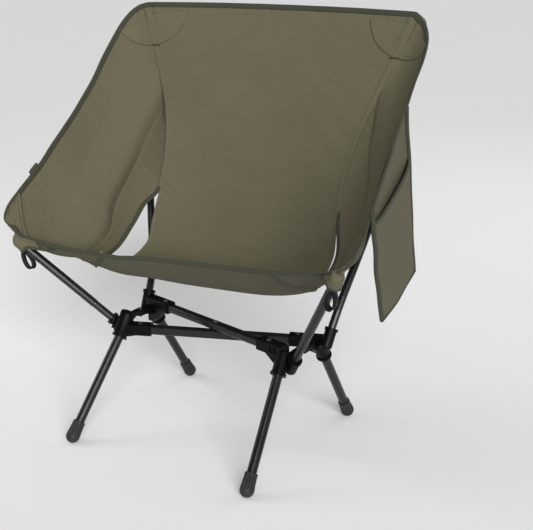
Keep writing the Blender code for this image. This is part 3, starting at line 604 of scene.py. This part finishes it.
def build_sling():
    pieces = {"panel": ("sling_panel", "sling_seat_back", SITTER)}
    for side_name in SIDES:
        pieces[side_name] = (f"sling_side_{side_name}", f"sling_wing_{side_name}", WING_SITTER[side_name])
    for key, (name, node, facing) in pieces.items():
        sheet = dress(cloth_sheet(name, GRIDS[key], facing), "sling")
        # the solid's other side takes the darker outer-face cloth, which is painted shade
        sheet.data.materials.append(LOOKS["sling_outside_painted_shade"])
        sheet.modifiers["thickness"].material_offset = 1
        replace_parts(sheet, node)
        declare_sheet(GRIDS[key])


# ---- edges, seams and stitches ----
def outside_below(obj):
    """Faces of a fold or seam that look away from the sitter get the outer face's look, the darker cloth that
    paints shade on them.
    """
    obj.data.materials.append(LOOKS["sling_outside_painted_shade"])
    for face in obj.data.polygons:
        if face.normal.dot(Vector(SITTER)) < 0:
            face.material_index = 1


STITCH_LENGTH, STITCH_PITCH, STITCH_HEIGHT = 0.0021, 0.0031, 0.0003
STITCH_TAPER = 0.45             # breadth of a stitch's ends, as a share of its middle
# sections of the tapes, folded hems and seams, as (sideways, up)
TAPE_SECTION = [(-0.0011, 0.0), (-0.0008, 0.0009), (0.0004, 0.0014), (0.0066, 0.0013), (0.0075, 0.0007),
                (0.0075, -0.0007), (0.0066, -0.0013), (0.0004, -0.0014), (-0.0008, -0.0009)]
FOLD_SECTION = [(-0.0009, 0.0), (-0.0006, 0.0008), (0.0003, 0.0011), (0.0062, 0.0010), (0.0070, 0.0005),
                (0.0070, -0.0005), (0.0062, -0.0010), (0.0003, -0.0011), (-0.0006, -0.0008)]
SEAM_SECTION = [(-0.0048, 0.0003), (-0.0042, 0.0010), (-0.0012, 0.0013), (0.0, 0.0007), (0.0012, 0.0013),
                (0.0042, 0.0010), (0.0048, 0.0003), (0.0042, -0.0010), (0.0, -0.0013), (-0.0042, -0.0010)]


def laid_path(points, facing, inward=None):
    """An even path on the cloth, with its frames; sideways points into the cloth from its edge."""
    path = even_path(smoothed(even_path(points), 4))
    _, normals = cloth.nearest(path, facing)
    return (path, *path_frames(path, unit(smoothed(normals, 12)), inward))


def stitch_mesh(rows_of_stitches, width):
    """Small raised stitches along paths given as (path, sideways, normals, offset, lift)."""
    vertices, faces = [], []
    for path, sideways, normals, offset, lift in rows_of_stitches:
        line = path + sideways * offset + normals * lift
        lengths = lengths_along(line)
        for start in np.arange(STITCH_PITCH, lengths[-1] - STITCH_PITCH, STITCH_PITCH):
            ends = [np.array([np.interp(start + step, lengths, line[:, axis]) for axis in range(3)])
                    for step in (0.0, STITCH_LENGTH)]
            index = min(np.searchsorted(lengths, start), len(path) - 1)
            side, up = sideways[index] * width, normals[index]
            first = len(vertices)
            middle = 0.5 * (ends[0] + ends[1])
            for place, share in ((ends[0], STITCH_TAPER), (middle, 1.0), (ends[1], STITCH_TAPER)):
                rise = STITCH_HEIGHT * (share - STITCH_TAPER) / (1.0 - STITCH_TAPER) + 0.00008
                sunk = place - up * STITCH_HEIGHT
                vertices += [sunk - side * share, place + up * rise, sunk + side * share]
            for row in (first, first + 3):
                faces += [(row + a, row + b, row + 3 + b, row + 3 + a) for a, b in ((0, 1), (1, 2), (2, 0))]
            faces += [(first + 2, first + 1, first), (first + 6, first + 7, first + 8)]
    return vertices, faces


def sew(name, rows_of_stitches, body="frame", width=0.00042):
    thread = mesh_from(name, *stitch_mesh(rows_of_stitches, width))
    fix_normals(thread)
    dress(thread, "thread", body)


def edge_lines():
    """The sling's bound edges: points along each, its cloth normals, and the way into the cloth."""
    grids = {key: (grid, surface_normals(grid, SITTER if key == "panel" else WING_SITTER[key]))
             for key, grid in GRIDS.items()}

    def chained(*parts):
        return tuple(np.vstack([grids[key][layer][rows, columns][1:] for key, rows, columns in parts])
                     for layer in (0, 1))

    forth, back, vent = slice(None), slice(None, None, -1), slice(0, APEX_ROW + 2)
    rim = chained(("left", forth, -1), ("left", -1, back), ("panel", -1, forth), ("right", -1, forth),
                  ("right", back, -1), ("right", 0, back), ("panel", 0, back), ("left", 0, forth))
    return {"rim": (*rim, None), "vent_left": (*chained(("left", vent, 0)), (-1.0, 0.0, 0.0)),
            "vent_right": (*chained(("right", vent, 0)), (1.0, 0.0, 0.0))}


def looped(values, times):
    """A closed path's values, evened out with their neighbours."""
    for _ in range(times):
        values = 0.25 * np.roll(values, 1, axis=0) + 0.5 * values + 0.25 * np.roll(values, -1, axis=0)
    return values


def looped_tangents(path):
    return unit(np.roll(path, -1, axis=0) - np.roll(path, 1, axis=0))


def rim_path(points, cloth_normals):
    """The closed path round the whole sling, with frames whose sideways direction points into the cloth."""
    closed = np.vstack([points, points[:1]])
    path = looped(even_path(closed)[:-1], 4)
    nearest = np.argmin(np.linalg.norm(path[:, None] - points[None], axis=2), axis=1)
    normals = unit(looped(cloth_normals[nearest], 14))
    sideways = unit(np.cross(normals, looped_tangents(path)))
    inside = GRIDS["panel"][ROWS // 2, GRIDS["panel"].shape[1] // 2]
    if ((inside - path) * sideways).sum() < 0:
        sideways = -sideways
    return path, sideways, unit(np.cross(np.cross(sideways, normals), sideways))


def build_edges():
    seams = []
    for name, (points, cloth_normals, inward) in edge_lines().items():
        around = name == "rim"
        path, sideways, normals = (rim_path(points, cloth_normals) if around
                                   else laid_path(points, SITTER, inward))
        scale = 1.0 if around else 0.8
        section = [(a * scale, b) for a, b in TAPE_SECTION]
        tape = swept(f"binding_{name}", path, sideways, normals, section, around)
        dress(tape, "binding")
        seams += [(path, sideways, normals * way, 0.0056 * scale, 0.00135) for way in (1.0, -1.0)]
    for side_name, sign in SIDES.items():
        edge = GRIDS["panel"][:, PANEL_COLUMN[side_name]]
        for name, points, section in (("vent_hem", edge[:APEX_ROW + 2], FOLD_SECTION),
                                      ("seam", edge[APEX_ROW - 1:ROWS - 2], SEAM_SECTION)):
            path, sideways, normals = laid_path(points, SITTER, (-sign, 0.0, 0.0))
            outside_below(dress(swept(f"{name}_{side_name}", path, sideways, normals, section), "lining"))
            if name == "vent_hem":
                seams.append((path, sideways, normals, 0.0052, 0.00105))
            else:
                seams += [(path, sideways, normals * way, offset, 0.00105)
                          for way in (1.0, -1.0) for offset in (-0.0034, 0.0034)]
    sew("edge_stitches", seams)


# ---- corners ----
# the top patches' arcs: middle and radius, where they start and end, and how much wider they end
PATCHES = {"left": (np.array((-0.224, 0.125, 0.640)), 0.063),
           "right": (np.array((0.229, 0.125, 0.640)), 0.062)}
PATCH_TURNS = (math.radians(5.0), math.radians(146.0))
PATCH_WIDENING = 0.14
# length along the pole, reach to each side, and how far the closed end goes past the tip
POCKET_SIZES = {"front": (0.015, 0.022, 0.013), "rear": (0.050, 0.021, 0.013)}
POCKET_RADIUS = 0.0094
HELD_SHARE = 0.55               # share of a pocket's breadth that lies round the pole's tip
POCKET_UP = {("front", "right"): (0.0, 0.45, 0.90)}     # where the corner is, if not at the nearest cloth
HEM_DEPTH = {"left": 0.050, "right": 0.014}     # how far behind the hem a front pocket's mouth is sewn
HEM_REACH = (0.97, 0.56)        # where a front pocket is sewn along the wing's hem, as shares of the hem


def tip_axis(row, side_name):
    """A pole's tip and the direction from its hub to the tip."""
    sign = SIDES[side_name]
    mirror = np.array((sign, 1.0, 1.0))
    if row == "front":
        tip = np.array(FRONT_TIPS[side_name])
        return tip, unit(tip - np.array(FRONT_POLE_SOCKET) * mirror)
    path = np.array([*REAR_POLE_BENDS, REAR_TIP]) * mirror
    return path[-1], unit(catmull(path, 1.0) - catmull(path, 0.97))


def build_top_patch(side_name):
    """A rounded reinforcement in a top corner, with its double row of stitches and the tack on the seam."""
    sign = SIDES[side_name]
    centre, radius = PATCHES[side_name]
    turns = np.linspace(*PATCH_TURNS, 72)[:, None]
    over = np.array((-sign, 0.0, 0.0))
    out = np.array((0.85 * sign, -0.5, 0.0))
    down = np.array((0.0, -0.16, -0.98))
    directions = np.where(np.cos(turns) > 0, over, -out) * np.cos(turns) + down * np.sin(turns)
    radii = radius * (1.0 + PATCH_WIDENING * ease((turns - 1.2) / 1.2))
    arc = smoothed(cloth.on_sphere(centre, radii, directions, SITTER)[0], 6)
    middle, _ = cloth.nearest([centre + 0.010 * down], SITTER)
    shares = np.linspace(0.04, 1.0, 26)[:, None, None]
    flat = middle[0] + (arc[None] - middle[0]) * shares
    base, lifts = cloth.nearest(flat, SITTER)
    lifts = smoothed(lifts.reshape(flat.shape), 2)
    layer = base.reshape(flat.shape) + lifts * (0.0011 - 0.0004 * ease((shares - 0.93) / 0.07))
    dress(cloth_sheet(f"corner_patch_{side_name}", layer, SITTER, PATCH_CLOTH), "lining")
    path, sideways, normals = laid_path(arc, SITTER)
    if ((centre - path) * sideways).sum() < 0:
        sideways = -sideways
    rows = [(path, sideways, normals, offset, 0.0013) for offset in (0.0016, 0.0062)]
    edge = GRIDS["panel"][:, PANEL_COLUMN[side_name]]
    inner, across, up = laid_path(edge[int(0.955 * ROWS):], SITTER, over)
    rows += [(inner, across, up, offset, 0.0016) for offset in (-0.0075, 0.0085)]
    sew(f"patch_stitches_{side_name}", rows, width=0.00060)
    to_seam = np.linalg.norm(arc - edge[APEX_ROW:, None], axis=2).min(axis=0)
    tack(f"seam_tack_{side_name}", arc[np.argmin(to_seam)], over, 0.0150, 0.0022, SITTER)


TACK_SECTION = np.array([(-0.5, 0.0), (-0.42, 0.75), (0.0, 1.0), (0.42, 0.75), (0.5, 0.0), (0.3, -0.4),
                         (-0.3, -0.4)])


def tack(name, centre, direction, length, breadth, facing):
    """A bar of dense stitches that lock a seam."""
    line = np.array(centre) + np.outer(np.linspace(-0.5, 0.5, 24) * length, unit(np.array(direction, float)))
    path, normals = cloth.nearest(line, facing)
    sideways, normals = path_frames(path, normals)
    ripple = 0.0004 * np.abs(np.sin(np.linspace(0.0, 11 * math.pi, len(path))))
    across, up = TACK_SECTION[None, :, :1], TACK_SECTION[None, :, 1:]
    rings = (path[:, None] + sideways[:, None] * across * breadth
             + normals[:, None] * (0.0014 + up * (0.0007 + ripple)[:, None, None]))
    dress(ring_mesh(name, rings), "thread")


FOLD_RIDGE = [(-0.0026, 0.0002), (-0.0018, 0.0012), (0.0, 0.0015), (0.0018, 0.0012), (0.0026, 0.0002)]


def build_front_patch(side_name):
    """The doubled front corner of a wing, cut off by a slanting seam, with tension ridges towards the tip."""
    facing = WING_SITTER[side_name]
    low, high = (0.645, 0.045), (0.985, 0.150)          # ends of the slanting seam, as (u, v) on the wing
    s, t = np.meshgrid(np.linspace(0.0, 1.0, 60), np.linspace(0.0, 1.0, 60), indexing="ij")
    u = (1 - t) * (low[0] + (high[0] - low[0]) * s) + t * (0.70 + 0.285 * np.minimum(1.0, 2.2 * s))
    v = (1 - t) * (low[1] + (high[1] - low[1]) * s) + t * (0.010 + 0.100 * np.maximum(0.0, s - 0.45))
    base = picked(GRIDS[side_name], u, v)
    _, normals = cloth.nearest(base, facing)
    ridges = 0.0009 * np.sin(2 * math.pi * (4.2 * t + 0.25 * s)) ** 2 * np.sin(math.pi * s) ** 0.5
    lift = 0.0010 + ridges * ease(t / 0.1) * ease((1 - t) / 0.1)
    layer = base + normals.reshape(base.shape) * lift[..., None]
    dress(cloth_sheet(f"front_patch_{side_name}", layer, facing, PATCH_CLOTH), "lining")
    path, sideways, normals = laid_path(layer[:, 1], facing)
    sew(f"front_patch_stitches_{side_name}", [(path, sideways, normals, offset, 0.0012)
                                             for offset in (-0.0006, 0.0030, -0.0042)])
    dress(swept(f"front_patch_fold_{side_name}", path, sideways, normals, FOLD_RIDGE), "lining")


def pocket_frame(row, side_name):
    """A pocket's directions: up to the cloth, and sideways to the middle of the chair."""
    tip, axis = tip_axis(row, side_name)
    middle = tip - axis * 0.35 * POCKET_SIZES[row][0]
    up = np.array(POCKET_UP.get((row, side_name), cloth.nearest([middle], SITTER)[0][0] - middle))
    up = unit(up - axis * (up @ axis))
    side = np.cross(axis, up)
    return tip, axis, up, -side * np.sign(side[0] * SIDES[side_name])


def pocket_rings(row, side_name):
    """A sheet round the pole's tip, as rings at stations along the pole; the last is the mouth."""
    length, breadth, beyond = POCKET_SIZES[row]
    tip, axis, up, side = pocket_frame(row, side_name)
    shares = np.linspace(-1.0, 1.0, 81)
    ways = np.sign(shares)
    inner = shares > 0
    away = np.clip((np.abs(shares) - HELD_SHARE) / (1.0 - HELD_SHARE), 0.0, 1.0)[:, None]
    rings = []
    for place in np.concatenate([np.linspace(-beyond, 0.0, 20)[:-1], np.linspace(0.0, length, 36)]):
        centre = tip - axis * place
        base, _ = cloth.nearest(centre + np.outer(ways * breadth, side), SITTER)
        base = base - up * 0.0012
        done = (place + beyond) / (length + beyond)
        if row == "front":      # this side is sewn along the wing's hem
            share = HEM_REACH[0] + (HEM_REACH[1] - HEM_REACH[0]) * done
            sewn = picked(GRIDS[side_name], share, 0.004 + HEM_DEPTH[side_name] * done)
            base[inner] = sewn - (0.0, 0.0, 0.0016)
        shrink = math.sqrt(max(0.0, 1.0 - (place / beyond) ** 2)) if place < 0 else 1.0
        if place < 0:           # the closed end rises towards the cloth
            roof, _ = cloth.nearest([centre], SITTER)
            centre = centre + (roof[0] - centre) * (1.0 - shrink)
        radius = POCKET_RADIUS * shrink * (1.0 + 0.10 * ease((place - 0.5 * length) / (0.5 * length)))
        ends = base[[-1, 0]] - centre       # taut cloth leaves the round tip at a tangent to where it is sewn
        outwards, below = np.array((1.0, -1.0)) * (ends @ side), -(ends @ up)
        leave = np.arctan2(outwards, below) - np.arccos(np.minimum(radius / np.hypot(outwards, below), 1.0))
        half = max(0.5 * (leave[0] + leave[1]), 0.3)
        turned = 0.5 * (leave[0] - leave[1]) + np.clip(shares / HELD_SHARE, -1.0, 1.0) * half
        arc = centre + radius * (np.outer(np.sin(turned), side) - np.outer(np.cos(turned), up))
        pleat = 0.0004 * np.sin(17.0 * shares + 120.0 * place) * (1 - away[:, 0])
        rings.append(arc * (1 - away) + base * away - np.outer(pleat, up))
    rings = np.array(rings)
    for _ in range(3):
        rings[:, 1:-1] = 0.25 * rings[:, :-2] + 0.5 * rings[:, 1:-1] + 0.25 * rings[:, 2:]
    return rings


def build_corner_pocket(row, side_name):
    """A pocket that wraps a pole's tip and is sewn to the outer face of the corner on both sides of it."""
    tip, axis, up, _ = pocket_frame(row, side_name)
    rings = pocket_rings(row, side_name)
    pocket = dress(cloth_sheet(f"tip_pocket_{row}_{side_name}", rings, -up, 0.0009), "pocket")
    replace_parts(pocket, f"corner_pocket_{row}_{side_name}")
    mouth = even_path(rings[-1], 0.002)
    sideways, normals = path_frames(mouth, unit(mouth - (tip - axis * POCKET_SIZES[row][0])), axis)
    section = [(a * 0.5, b * 0.8) for a, b in TAPE_SECTION]
    dress(swept(f"tip_pocket_tape_{row}_{side_name}", mouth, sideways, normals, section), "binding")
    rows = [(mouth, sideways, normals, 0.0029, 0.0011)]
    for column in (2, -3):
        line = even_path(rings[6:, column])
        rows.append((line, *path_frames(line, np.broadcast_to(-up, line.shape)), 0.0, 0.0004))
    sew(f"tip_pocket_stitches_{row}_{side_name}", rows)


LOOP_TURN = {"left": math.radians(-48.0), "right": math.radians(-32.0)}     # about the way the loop hangs
LOOP_LEAN = {"left": 0.80, "right": 0.50}       # how much it leans towards the pole
LOOP_DROP = 0.0290
WEBBING_SECTION = [(-0.0058, 0.0), (-0.0054, 0.0009), (0.0054, 0.0009), (0.0058, 0.0), (0.0054, -0.0009),
                   (-0.0054, -0.0009)]


def build_loop(side_name):
    """A black webbing loop that hangs from the mouth of a front corner pocket."""
    tip, axis, up, _ = pocket_frame("front", side_name)
    start = tip - axis * (POCKET_SIZES["front"][0] + 0.001) - up * 0.0085
    down = unit(np.array((0.0, 0.0, -0.75)) - LOOP_LEAN[side_name] * axis)
    level = unit(axis - down * (axis @ down))
    span = level * math.cos(LOOP_TURN[side_name]) + np.cross(down, level) * math.sin(LOOP_TURN[side_name])
    turns = np.linspace(0.0, 2 * math.pi, 72, endpoint=False)
    along = (1 - np.cos(turns)) / 2
    bulge = np.sin(turns) * (0.0050 + 0.0030 * along)
    path = start + np.outer(along * LOOP_DROP, down) + np.outer(bulge, span)
    sideways = np.broadcast_to(unit(np.cross(down, span)), path.shape)
    normals = unit(np.cross(looped_tangents(path), sideways))
    loop = swept(f"webbing_loop_{side_name}", path, sideways, normals, WEBBING_SECTION, closed_path=True)
    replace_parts(dress(loop, "tape"), f"gear_loop_{side_name}")


TAB_LENGTH, TAB_REACH, TAB_ROOT, TAB_HALF_THICKNESS = 0.0190, 0.0052, 0.0035, 0.0021


def build_edge_tab():
    """A small folded tape caught in the binding of the left wing's outer edge."""
    grid = GRIDS["left"]
    low, high = picked(grid, 1.0, 0.195), picked(grid, 1.0, 0.235)
    along = unit(high - low)
    outwards = unit(picked(grid, 1.0, 0.215) - picked(grid, 0.97, 0.215))
    normal = np.cross(along, outwards)
    turns = np.linspace(0.0, math.pi, 25)
    rows = []
    for share in np.linspace(-0.5, 0.5, 9):
        centre = 0.5 * (low + high) + along * share * TAB_LENGTH
        reach = np.sin(turns) * (TAB_REACH - 0.0007 * abs(2 * share) ** 3)
        reach = reach - TAB_ROOT * np.abs(np.cos(turns)) ** 4
        rows.append(centre + np.outer(reach, outwards) + np.outer(np.cos(turns) * TAB_HALF_THICKNESS, normal))
    tab = mesh_from("edge_tab", rows, grid_faces(9, 25))
    solid = tab.modifiers.new("thickness", "SOLIDIFY")
    solid.thickness = 0.0010
    dress(tab, "binding")


def build_corner_tacks():
    """Bar tacks under the hem, where the mouths of the front corner pockets end."""
    u, v = HEM_REACH[1] - 0.035, 0.030
    for side_name, (over, back) in (("left", (0.040, 0.0)), ("right", (0.0, 0.030))):
        place, towards = picked(GRIDS[side_name], u, v), picked(GRIDS[side_name], u + over, v + back)
        tack(f"hem_tack_{side_name}", place, towards - place, 0.0130, 0.0050, (0.0, -0.5, -0.85))


# ---- the side pouch ----
# The pouch lies in a turned upright plane; its corners are (along it, height) from POUCH_BASE.
POUCH_BASE = np.array((0.2930, -0.1000, 0.0))
POUCH_TURN = math.radians(4.9)
POUCH = {name: np.array(place) for name, place in (
    ("front_top", (-0.0110, 0.4070)), ("rear_top", (0.1090, 0.5290)), ("rear_low", (0.1700, 0.2790)),
    ("front_low", (0.0380, 0.2430)), ("mouth_front", (-0.0065, 0.3920)), ("mouth_rear", (0.1240, 0.4570)))}
POUCH_FACING = (1.0, 0.1, 0.0)
LAYER_GAP = 0.0024              # between the pouch's two sheets at their bound edges
POUCH_FULLNESS = 0.0050         # how much further apart they are inside


def pouch_back_depth(u, v):
    return 0.0010 + 0.0008 * wander(0.20 * v + 0.13 * u, (0.11, 0.07))


def pouch_front_depth(u, v):
    round_edge = np.minimum(1.0, np.minimum(u, 1 - u) / 0.10) ** 0.6 * np.minimum(1.0, v / 0.08) ** 0.6
    belly = POUCH_FULLNESS * (0.72 + 0.28 * np.sin(math.pi * u))
    gape = 0.0035 * np.sin(math.pi * u) * ease((v - 0.70) / 0.30)
    crease = -0.0009 * hump(u, 0.42 + 0.1 * v, 0.06) * np.sin(math.pi * v)
    slack = 0.0011 * wander(0.20 * v + 0.09 * u, (0.083, 0.057), 0.8)
    return LAYER_GAP + gape + (belly + crease + slack) * round_edge


def pouch_sheet(top_front, top_rear, depth_of):
    """A sheet of the pouch, u from its front edge to its rear edge and v from the bottom to its top edge."""
    u, v = shares_of(90, 70)
    to_rear = u[..., None]
    low = POUCH["front_low"] * (1 - to_rear) + POUCH["rear_low"] * to_rear
    top = POUCH[top_front] * (1 - to_rear) + POUCH[top_rear] * to_rear
    along, height = np.moveaxis(low + (top - low) * v[..., None], -1, 0)
    height = height - 0.006 * np.sin(math.pi * u) * (1 - v) ** 3
    along = along - 0.004 * np.sin(math.pi * v) * (1 - u) ** 4
    depth, cosine, sine = depth_of(u, v), math.cos(POUCH_TURN), math.sin(POUCH_TURN)
    x, y = depth * cosine - along * sine, depth * sine + along * cosine
    return POUCH_BASE + np.stack([x, y, height], axis=-1)


def build_pouch():
    back = pouch_sheet("front_top", "rear_top", pouch_back_depth)
    front = pouch_sheet("mouth_front", "mouth_rear", pouch_front_depth)
    for name, points in (("pouch_back", back), ("pouch_front", front)):
        sheet = dress(cloth_sheet(name, points, POUCH_FACING, 0.0008), "pouch", "pouch")
        if name == "pouch_back":
            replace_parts(sheet, "side_pouch")
        declare_sheet(points)
    seams = []
    edges = {"bottom": (back[0], (0.0, 0.0, 1.0)), "front_edge": (back[:, 0], (0.0, 1.0, 0.0)),
             "rear_edge": (back[:, -1], (0.0, -1.0, 0.0)), "top": (back[-1], (0.0, 0.5, -1.0)),
             "mouth": (front[-1], (0.0, 0.3, -1.0))}
    for name, (points, inwards) in edges.items():
        path = even_path(smoothed(points))
        sideways, normals = path_frames(path, np.broadcast_to(unit(POUCH_FACING), path.shape), inwards)
        both = name not in ("top", "mouth")         # the edge where the two layers are bound together
        depth, thick = (0.0017, 1.9) if both else (0.0, 1.0)
        scale = 0.70 if both else 0.62
        section = [(a * scale, b * thick + depth) for a, b in TAPE_SECTION]
        tape = swept(f"pouch_tape_{name}", path, sideways, normals, section)
        dress(tape, "binding", "pouch")
        seams.append((path, sideways, normals, 0.0052 * scale, 0.0014 * thick + depth))
    sew("pouch_stitches", seams, "pouch")


# ---- frame parts ----
NODE_LOOKS = {"tube": "tube", "rail": "tube", "pole_lower": "tube", "pole_upper": "tube", "spigot": "rivet",
              "rivet": "rivet", "cap": "nylon", "hub": "nylon", "foot": "rubber", "cord": "cord"}


def finish_nodes():
    """The solids whose shape is right keep it and get the real materials."""
    for name, node in NODES.items():
        look = next((look for word, look in NODE_LOOKS.items() if word in name), "pocket")
        node.data.materials.clear()
        node.data.materials.append(LOOKS[look])


# where each leg's foot and the mouth of its socket are
LEGS = {"front": ((0.1596, -0.1980, 0.0100), (0.1466, -0.0929, 0.1429)),
        "rear": ((0.1578, 0.1105, 0.0100), (0.1583, 0.0251, 0.1351))}
# a foot's outline from its round end to its mouth: distance along the leg, radius, share of the flutes' depth
FOOT_RADIUS = 0.0106
FOOT_OUTLINE = [(0.0000, FOOT_RADIUS, 0.0), (0.0015, FOOT_RADIUS, 0.9), (0.0100, 0.0099, 1.0),
                (0.0195, 0.00945, 1.0), (0.0205, 0.00955, 0.0), (0.0225, 0.0096, 0.0), (0.0242, 0.0093, 0.0),
                (0.0246, 0.0087, 0.0), (0.0246, 0.0073, 0.0)]
FLUTES = 12
FLUTE_DEPTH = 0.0011
SHARP_ANGLE = math.radians(40.0)


def turned_about(start, axis, stations, sides):
    """Rings of points round an axis; stations give distances along it, radii and the flutes' share."""
    axis = unit(axis)
    across = unit(np.cross(axis, (0.0, 1.0, 0.0)))
    other = np.cross(axis, across)
    turns = np.linspace(0.0, 2 * math.pi, sides, endpoint=False)
    rings = []
    for along, radius, fluted in stations:
        radii = radius - fluted * FLUTE_DEPTH * np.clip(1.25 * np.cos(FLUTES * turns), 0.0, 1.0)
        rings.append(start + axis * along + np.outer(radii * np.cos(turns), across)
                     + np.outer(radii * np.sin(turns), other))
    return np.array(rings)


def build_foot(row, side_name):
    """A fluted rubber cup with a round end, flattened where it stands on the floor."""
    foot, socket = (np.array(place) * (SIDES[side_name], 1.0, 1.0) for place in LEGS[row])
    bottom = [(-FOOT_RADIUS * math.cos(turn), FOOT_RADIUS * math.sin(turn), 0.0)
              for turn in np.radians(np.linspace(4.0, 84.0, 12))]
    *outline, mouth = FOOT_OUTLINE
    places, radii, flutes = np.array(outline).T
    fine = np.unique(np.concatenate([places, np.linspace(0.0015, 0.0195, 12)]))
    side = zip(fine, np.interp(fine, places, radii), np.interp(fine, places, flutes))
    rings = turned_about(foot, socket - foot, [*bottom, *side, mouth], 160)
    rings[..., 2] = np.maximum(rings[..., 2], 0.0)
    cup = ring_mesh(f"ribbed_foot_{row}_{side_name}", rings)
    cup.data.set_sharp_from_angle(angle=SHARP_ANGLE)
    dress(cup, "rubber", f"leg_{row}_{side_name}")
    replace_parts(cup, f"foot_{row}_{side_name}")


HOUSING_LOW, HOUSING_HIGH = np.array((-0.1432, -0.0935, 0.1500)), np.array((-0.1335, -0.0835, 0.1835))
HOUSING_RADIUS = 0.0118
RIB_STEPS = (0.0125, 0.0165, 0.0205)    # the ribs' distances from the housing's axis
RIB_LENGTH = 0.020
RIB_SECTION = [(-0.0009, -0.010), (-0.0009, 0.0016), (0.0, 0.0022), (0.0009, 0.0016), (0.0009, -0.010)]


def build_hub_housing():
    """The sleeve in front of the front left hub's arm, and the ribs between it and the pole socket."""
    length = np.linalg.norm(HOUSING_HIGH - HOUSING_LOW)
    along = unit(HOUSING_HIGH - HOUSING_LOW)
    stations = [(0.0, HOUSING_RADIUS - 0.001, 0.0), (0.0006, HOUSING_RADIUS, 0.0),
                (length - 0.0012, HOUSING_RADIUS, 0.0), (length, HOUSING_RADIUS - 0.001, 0.0),
                (length, 0.0062, 0.0), (length - 0.004, 0.0060, 0.0)]
    pieces = [ring_mesh("housing", turned_about(HOUSING_LOW, along, stations, 64))]
    for step in RIB_STEPS:
        start = HOUSING_LOW + along * 0.2 * step + np.array((-step, 0.002, 0.0))
        path = start + np.outer(np.linspace(0.0, RIB_LENGTH, 4), along)
        pieces.append(swept("rib", path, *path_frames(path, np.broadcast_to((0.0, -1.0, 0.0), path.shape)),
                            RIB_SECTION))
    block = joined("hub_housing_front_left", pieces)
    block.data.shade_smooth()
    block.data.set_sharp_from_angle(angle=SHARP_ANGLE)
    dress(block, "nylon")


# ---- stage ----
KEY_FROM = (0.92, -1.00, 0.52)
KEY_LIGHT, KEY_ANGLE = 3.35, math.radians(34.0)
# soft lights from the sides: place, size and power
AREA_LIGHTS = {"side_light": ((-1.9, -0.5, 1.3), (0.25, 1.6), 9.0),
               "rim_light": ((0.9, 2.1, 1.6), (1.6, 0.4), 5.0)}
AREA_AIM = Vector((0.0, 0.0, 0.33))
SKY_LIGHT, SKY_GLOSS, SKY_SEEN = 0.36, 0.05, 0.95       # as light, in glossy reflections and as the backdrop
CAMERA_LENS, CAMERA_SENSOR = 70.2068, 36.0
CAMERA_PLACE = (0.8564, -1.2872, 0.7370)
CAMERA_AXES = {"right": (0.8531, 0.5218, 0.0015), "up": (-0.1549, 0.2505, 0.9556),
               "back": (0.4982, -0.8155, 0.2946)}


def build_floor():
    floor = bpy.data.meshes.new("floor")
    bm = bmesh.new()
    bmesh.ops.create_grid(bm, x_segments=1, y_segments=1, size=60.0)
    bm.to_mesh(floor)
    bm.free()
    ground = add_object("floor", floor)
    shader = Shader("floor_paint")
    tone = shader.mix(shader.noise(shader.place(), 2.0), rgba(0.93, 0.93, 0.93), rgba(0.95, 0.95, 0.95))
    shader.fill(shader.tree.nodes["Principled BSDF"],
                {"Base Color": tone, "Roughness": 0.9, "Specular IOR Level": 0.1})
    ground.data.materials.append(shader.material)


def build_sky():
    """A pale sky; gloss sees dark flags round the set instead of it."""
    world = bpy.data.worlds.new("studio")
    bpy.context.scene.world = world
    world.use_nodes = True
    nodes, links = world.node_tree.nodes, world.node_tree.links
    sky = nodes["Background"]
    sky.inputs["Color"].default_value = rgba(1.0, 1.0, 1.0)
    rays = nodes.new("ShaderNodeLightPath")
    flags = nodes.new("ShaderNodeMapRange")
    flags.inputs[3].default_value, flags.inputs[4].default_value = SKY_LIGHT, SKY_GLOSS
    links.new(rays.outputs["Is Glossy Ray"], flags.inputs[0])
    backdrop = nodes.new("ShaderNodeMix")
    links.new(rays.outputs["Is Camera Ray"], backdrop.inputs[0])
    links.new(flags.outputs[0], backdrop.inputs[2])
    backdrop.inputs[3].default_value = SKY_SEEN
    links.new(backdrop.outputs[0], sky.inputs["Strength"])


def build_lamps():
    key = bpy.data.lights.new("key_light", "SUN")
    key.energy, key.angle = KEY_LIGHT, KEY_ANGLE
    lamp = add_object("key_light", key)
    lamp.rotation_euler = (-Vector(KEY_FROM)).to_track_quat("-Z", "Y").to_euler()
    for name, (place, size, power) in AREA_LIGHTS.items():
        data = bpy.data.lights.new(name, "AREA")
        data.shape, data.energy = "RECTANGLE", power
        data.size, data.size_y = size
        lamp = add_object(name, data)
        lamp.location = place
        lamp.rotation_euler = (AREA_AIM - Vector(place)).to_track_quat("-Z", "Y").to_euler()


def build_camera():
    data = bpy.data.cameras.new("camera")
    data.sensor_width, data.lens = CAMERA_SENSOR, CAMERA_LENS
    camera = add_object("camera", data)
    turn = Matrix(list(CAMERA_AXES.values())).transposed().to_4x4()
    camera.matrix_world = Matrix.Translation(Vector(ORIGIN + CAMERA_PLACE)) @ turn
    bpy.context.scene.camera = camera
    bpy.context.scene.view_settings.view_transform = "Standard"


def build_corners():
    for side_name in SIDES:
        build_top_patch(side_name)
        build_front_patch(side_name)
        build_loop(side_name)
        for row in ROW_NAMES:
            build_corner_pocket(row, side_name)
            build_foot(row, side_name)


for build in (finish_nodes, build_sling, build_edges, build_corners, build_hub_housing, build_edge_tab,
              build_corner_tacks, build_pouch, build_floor, build_sky, build_lamps, build_camera):
    build()
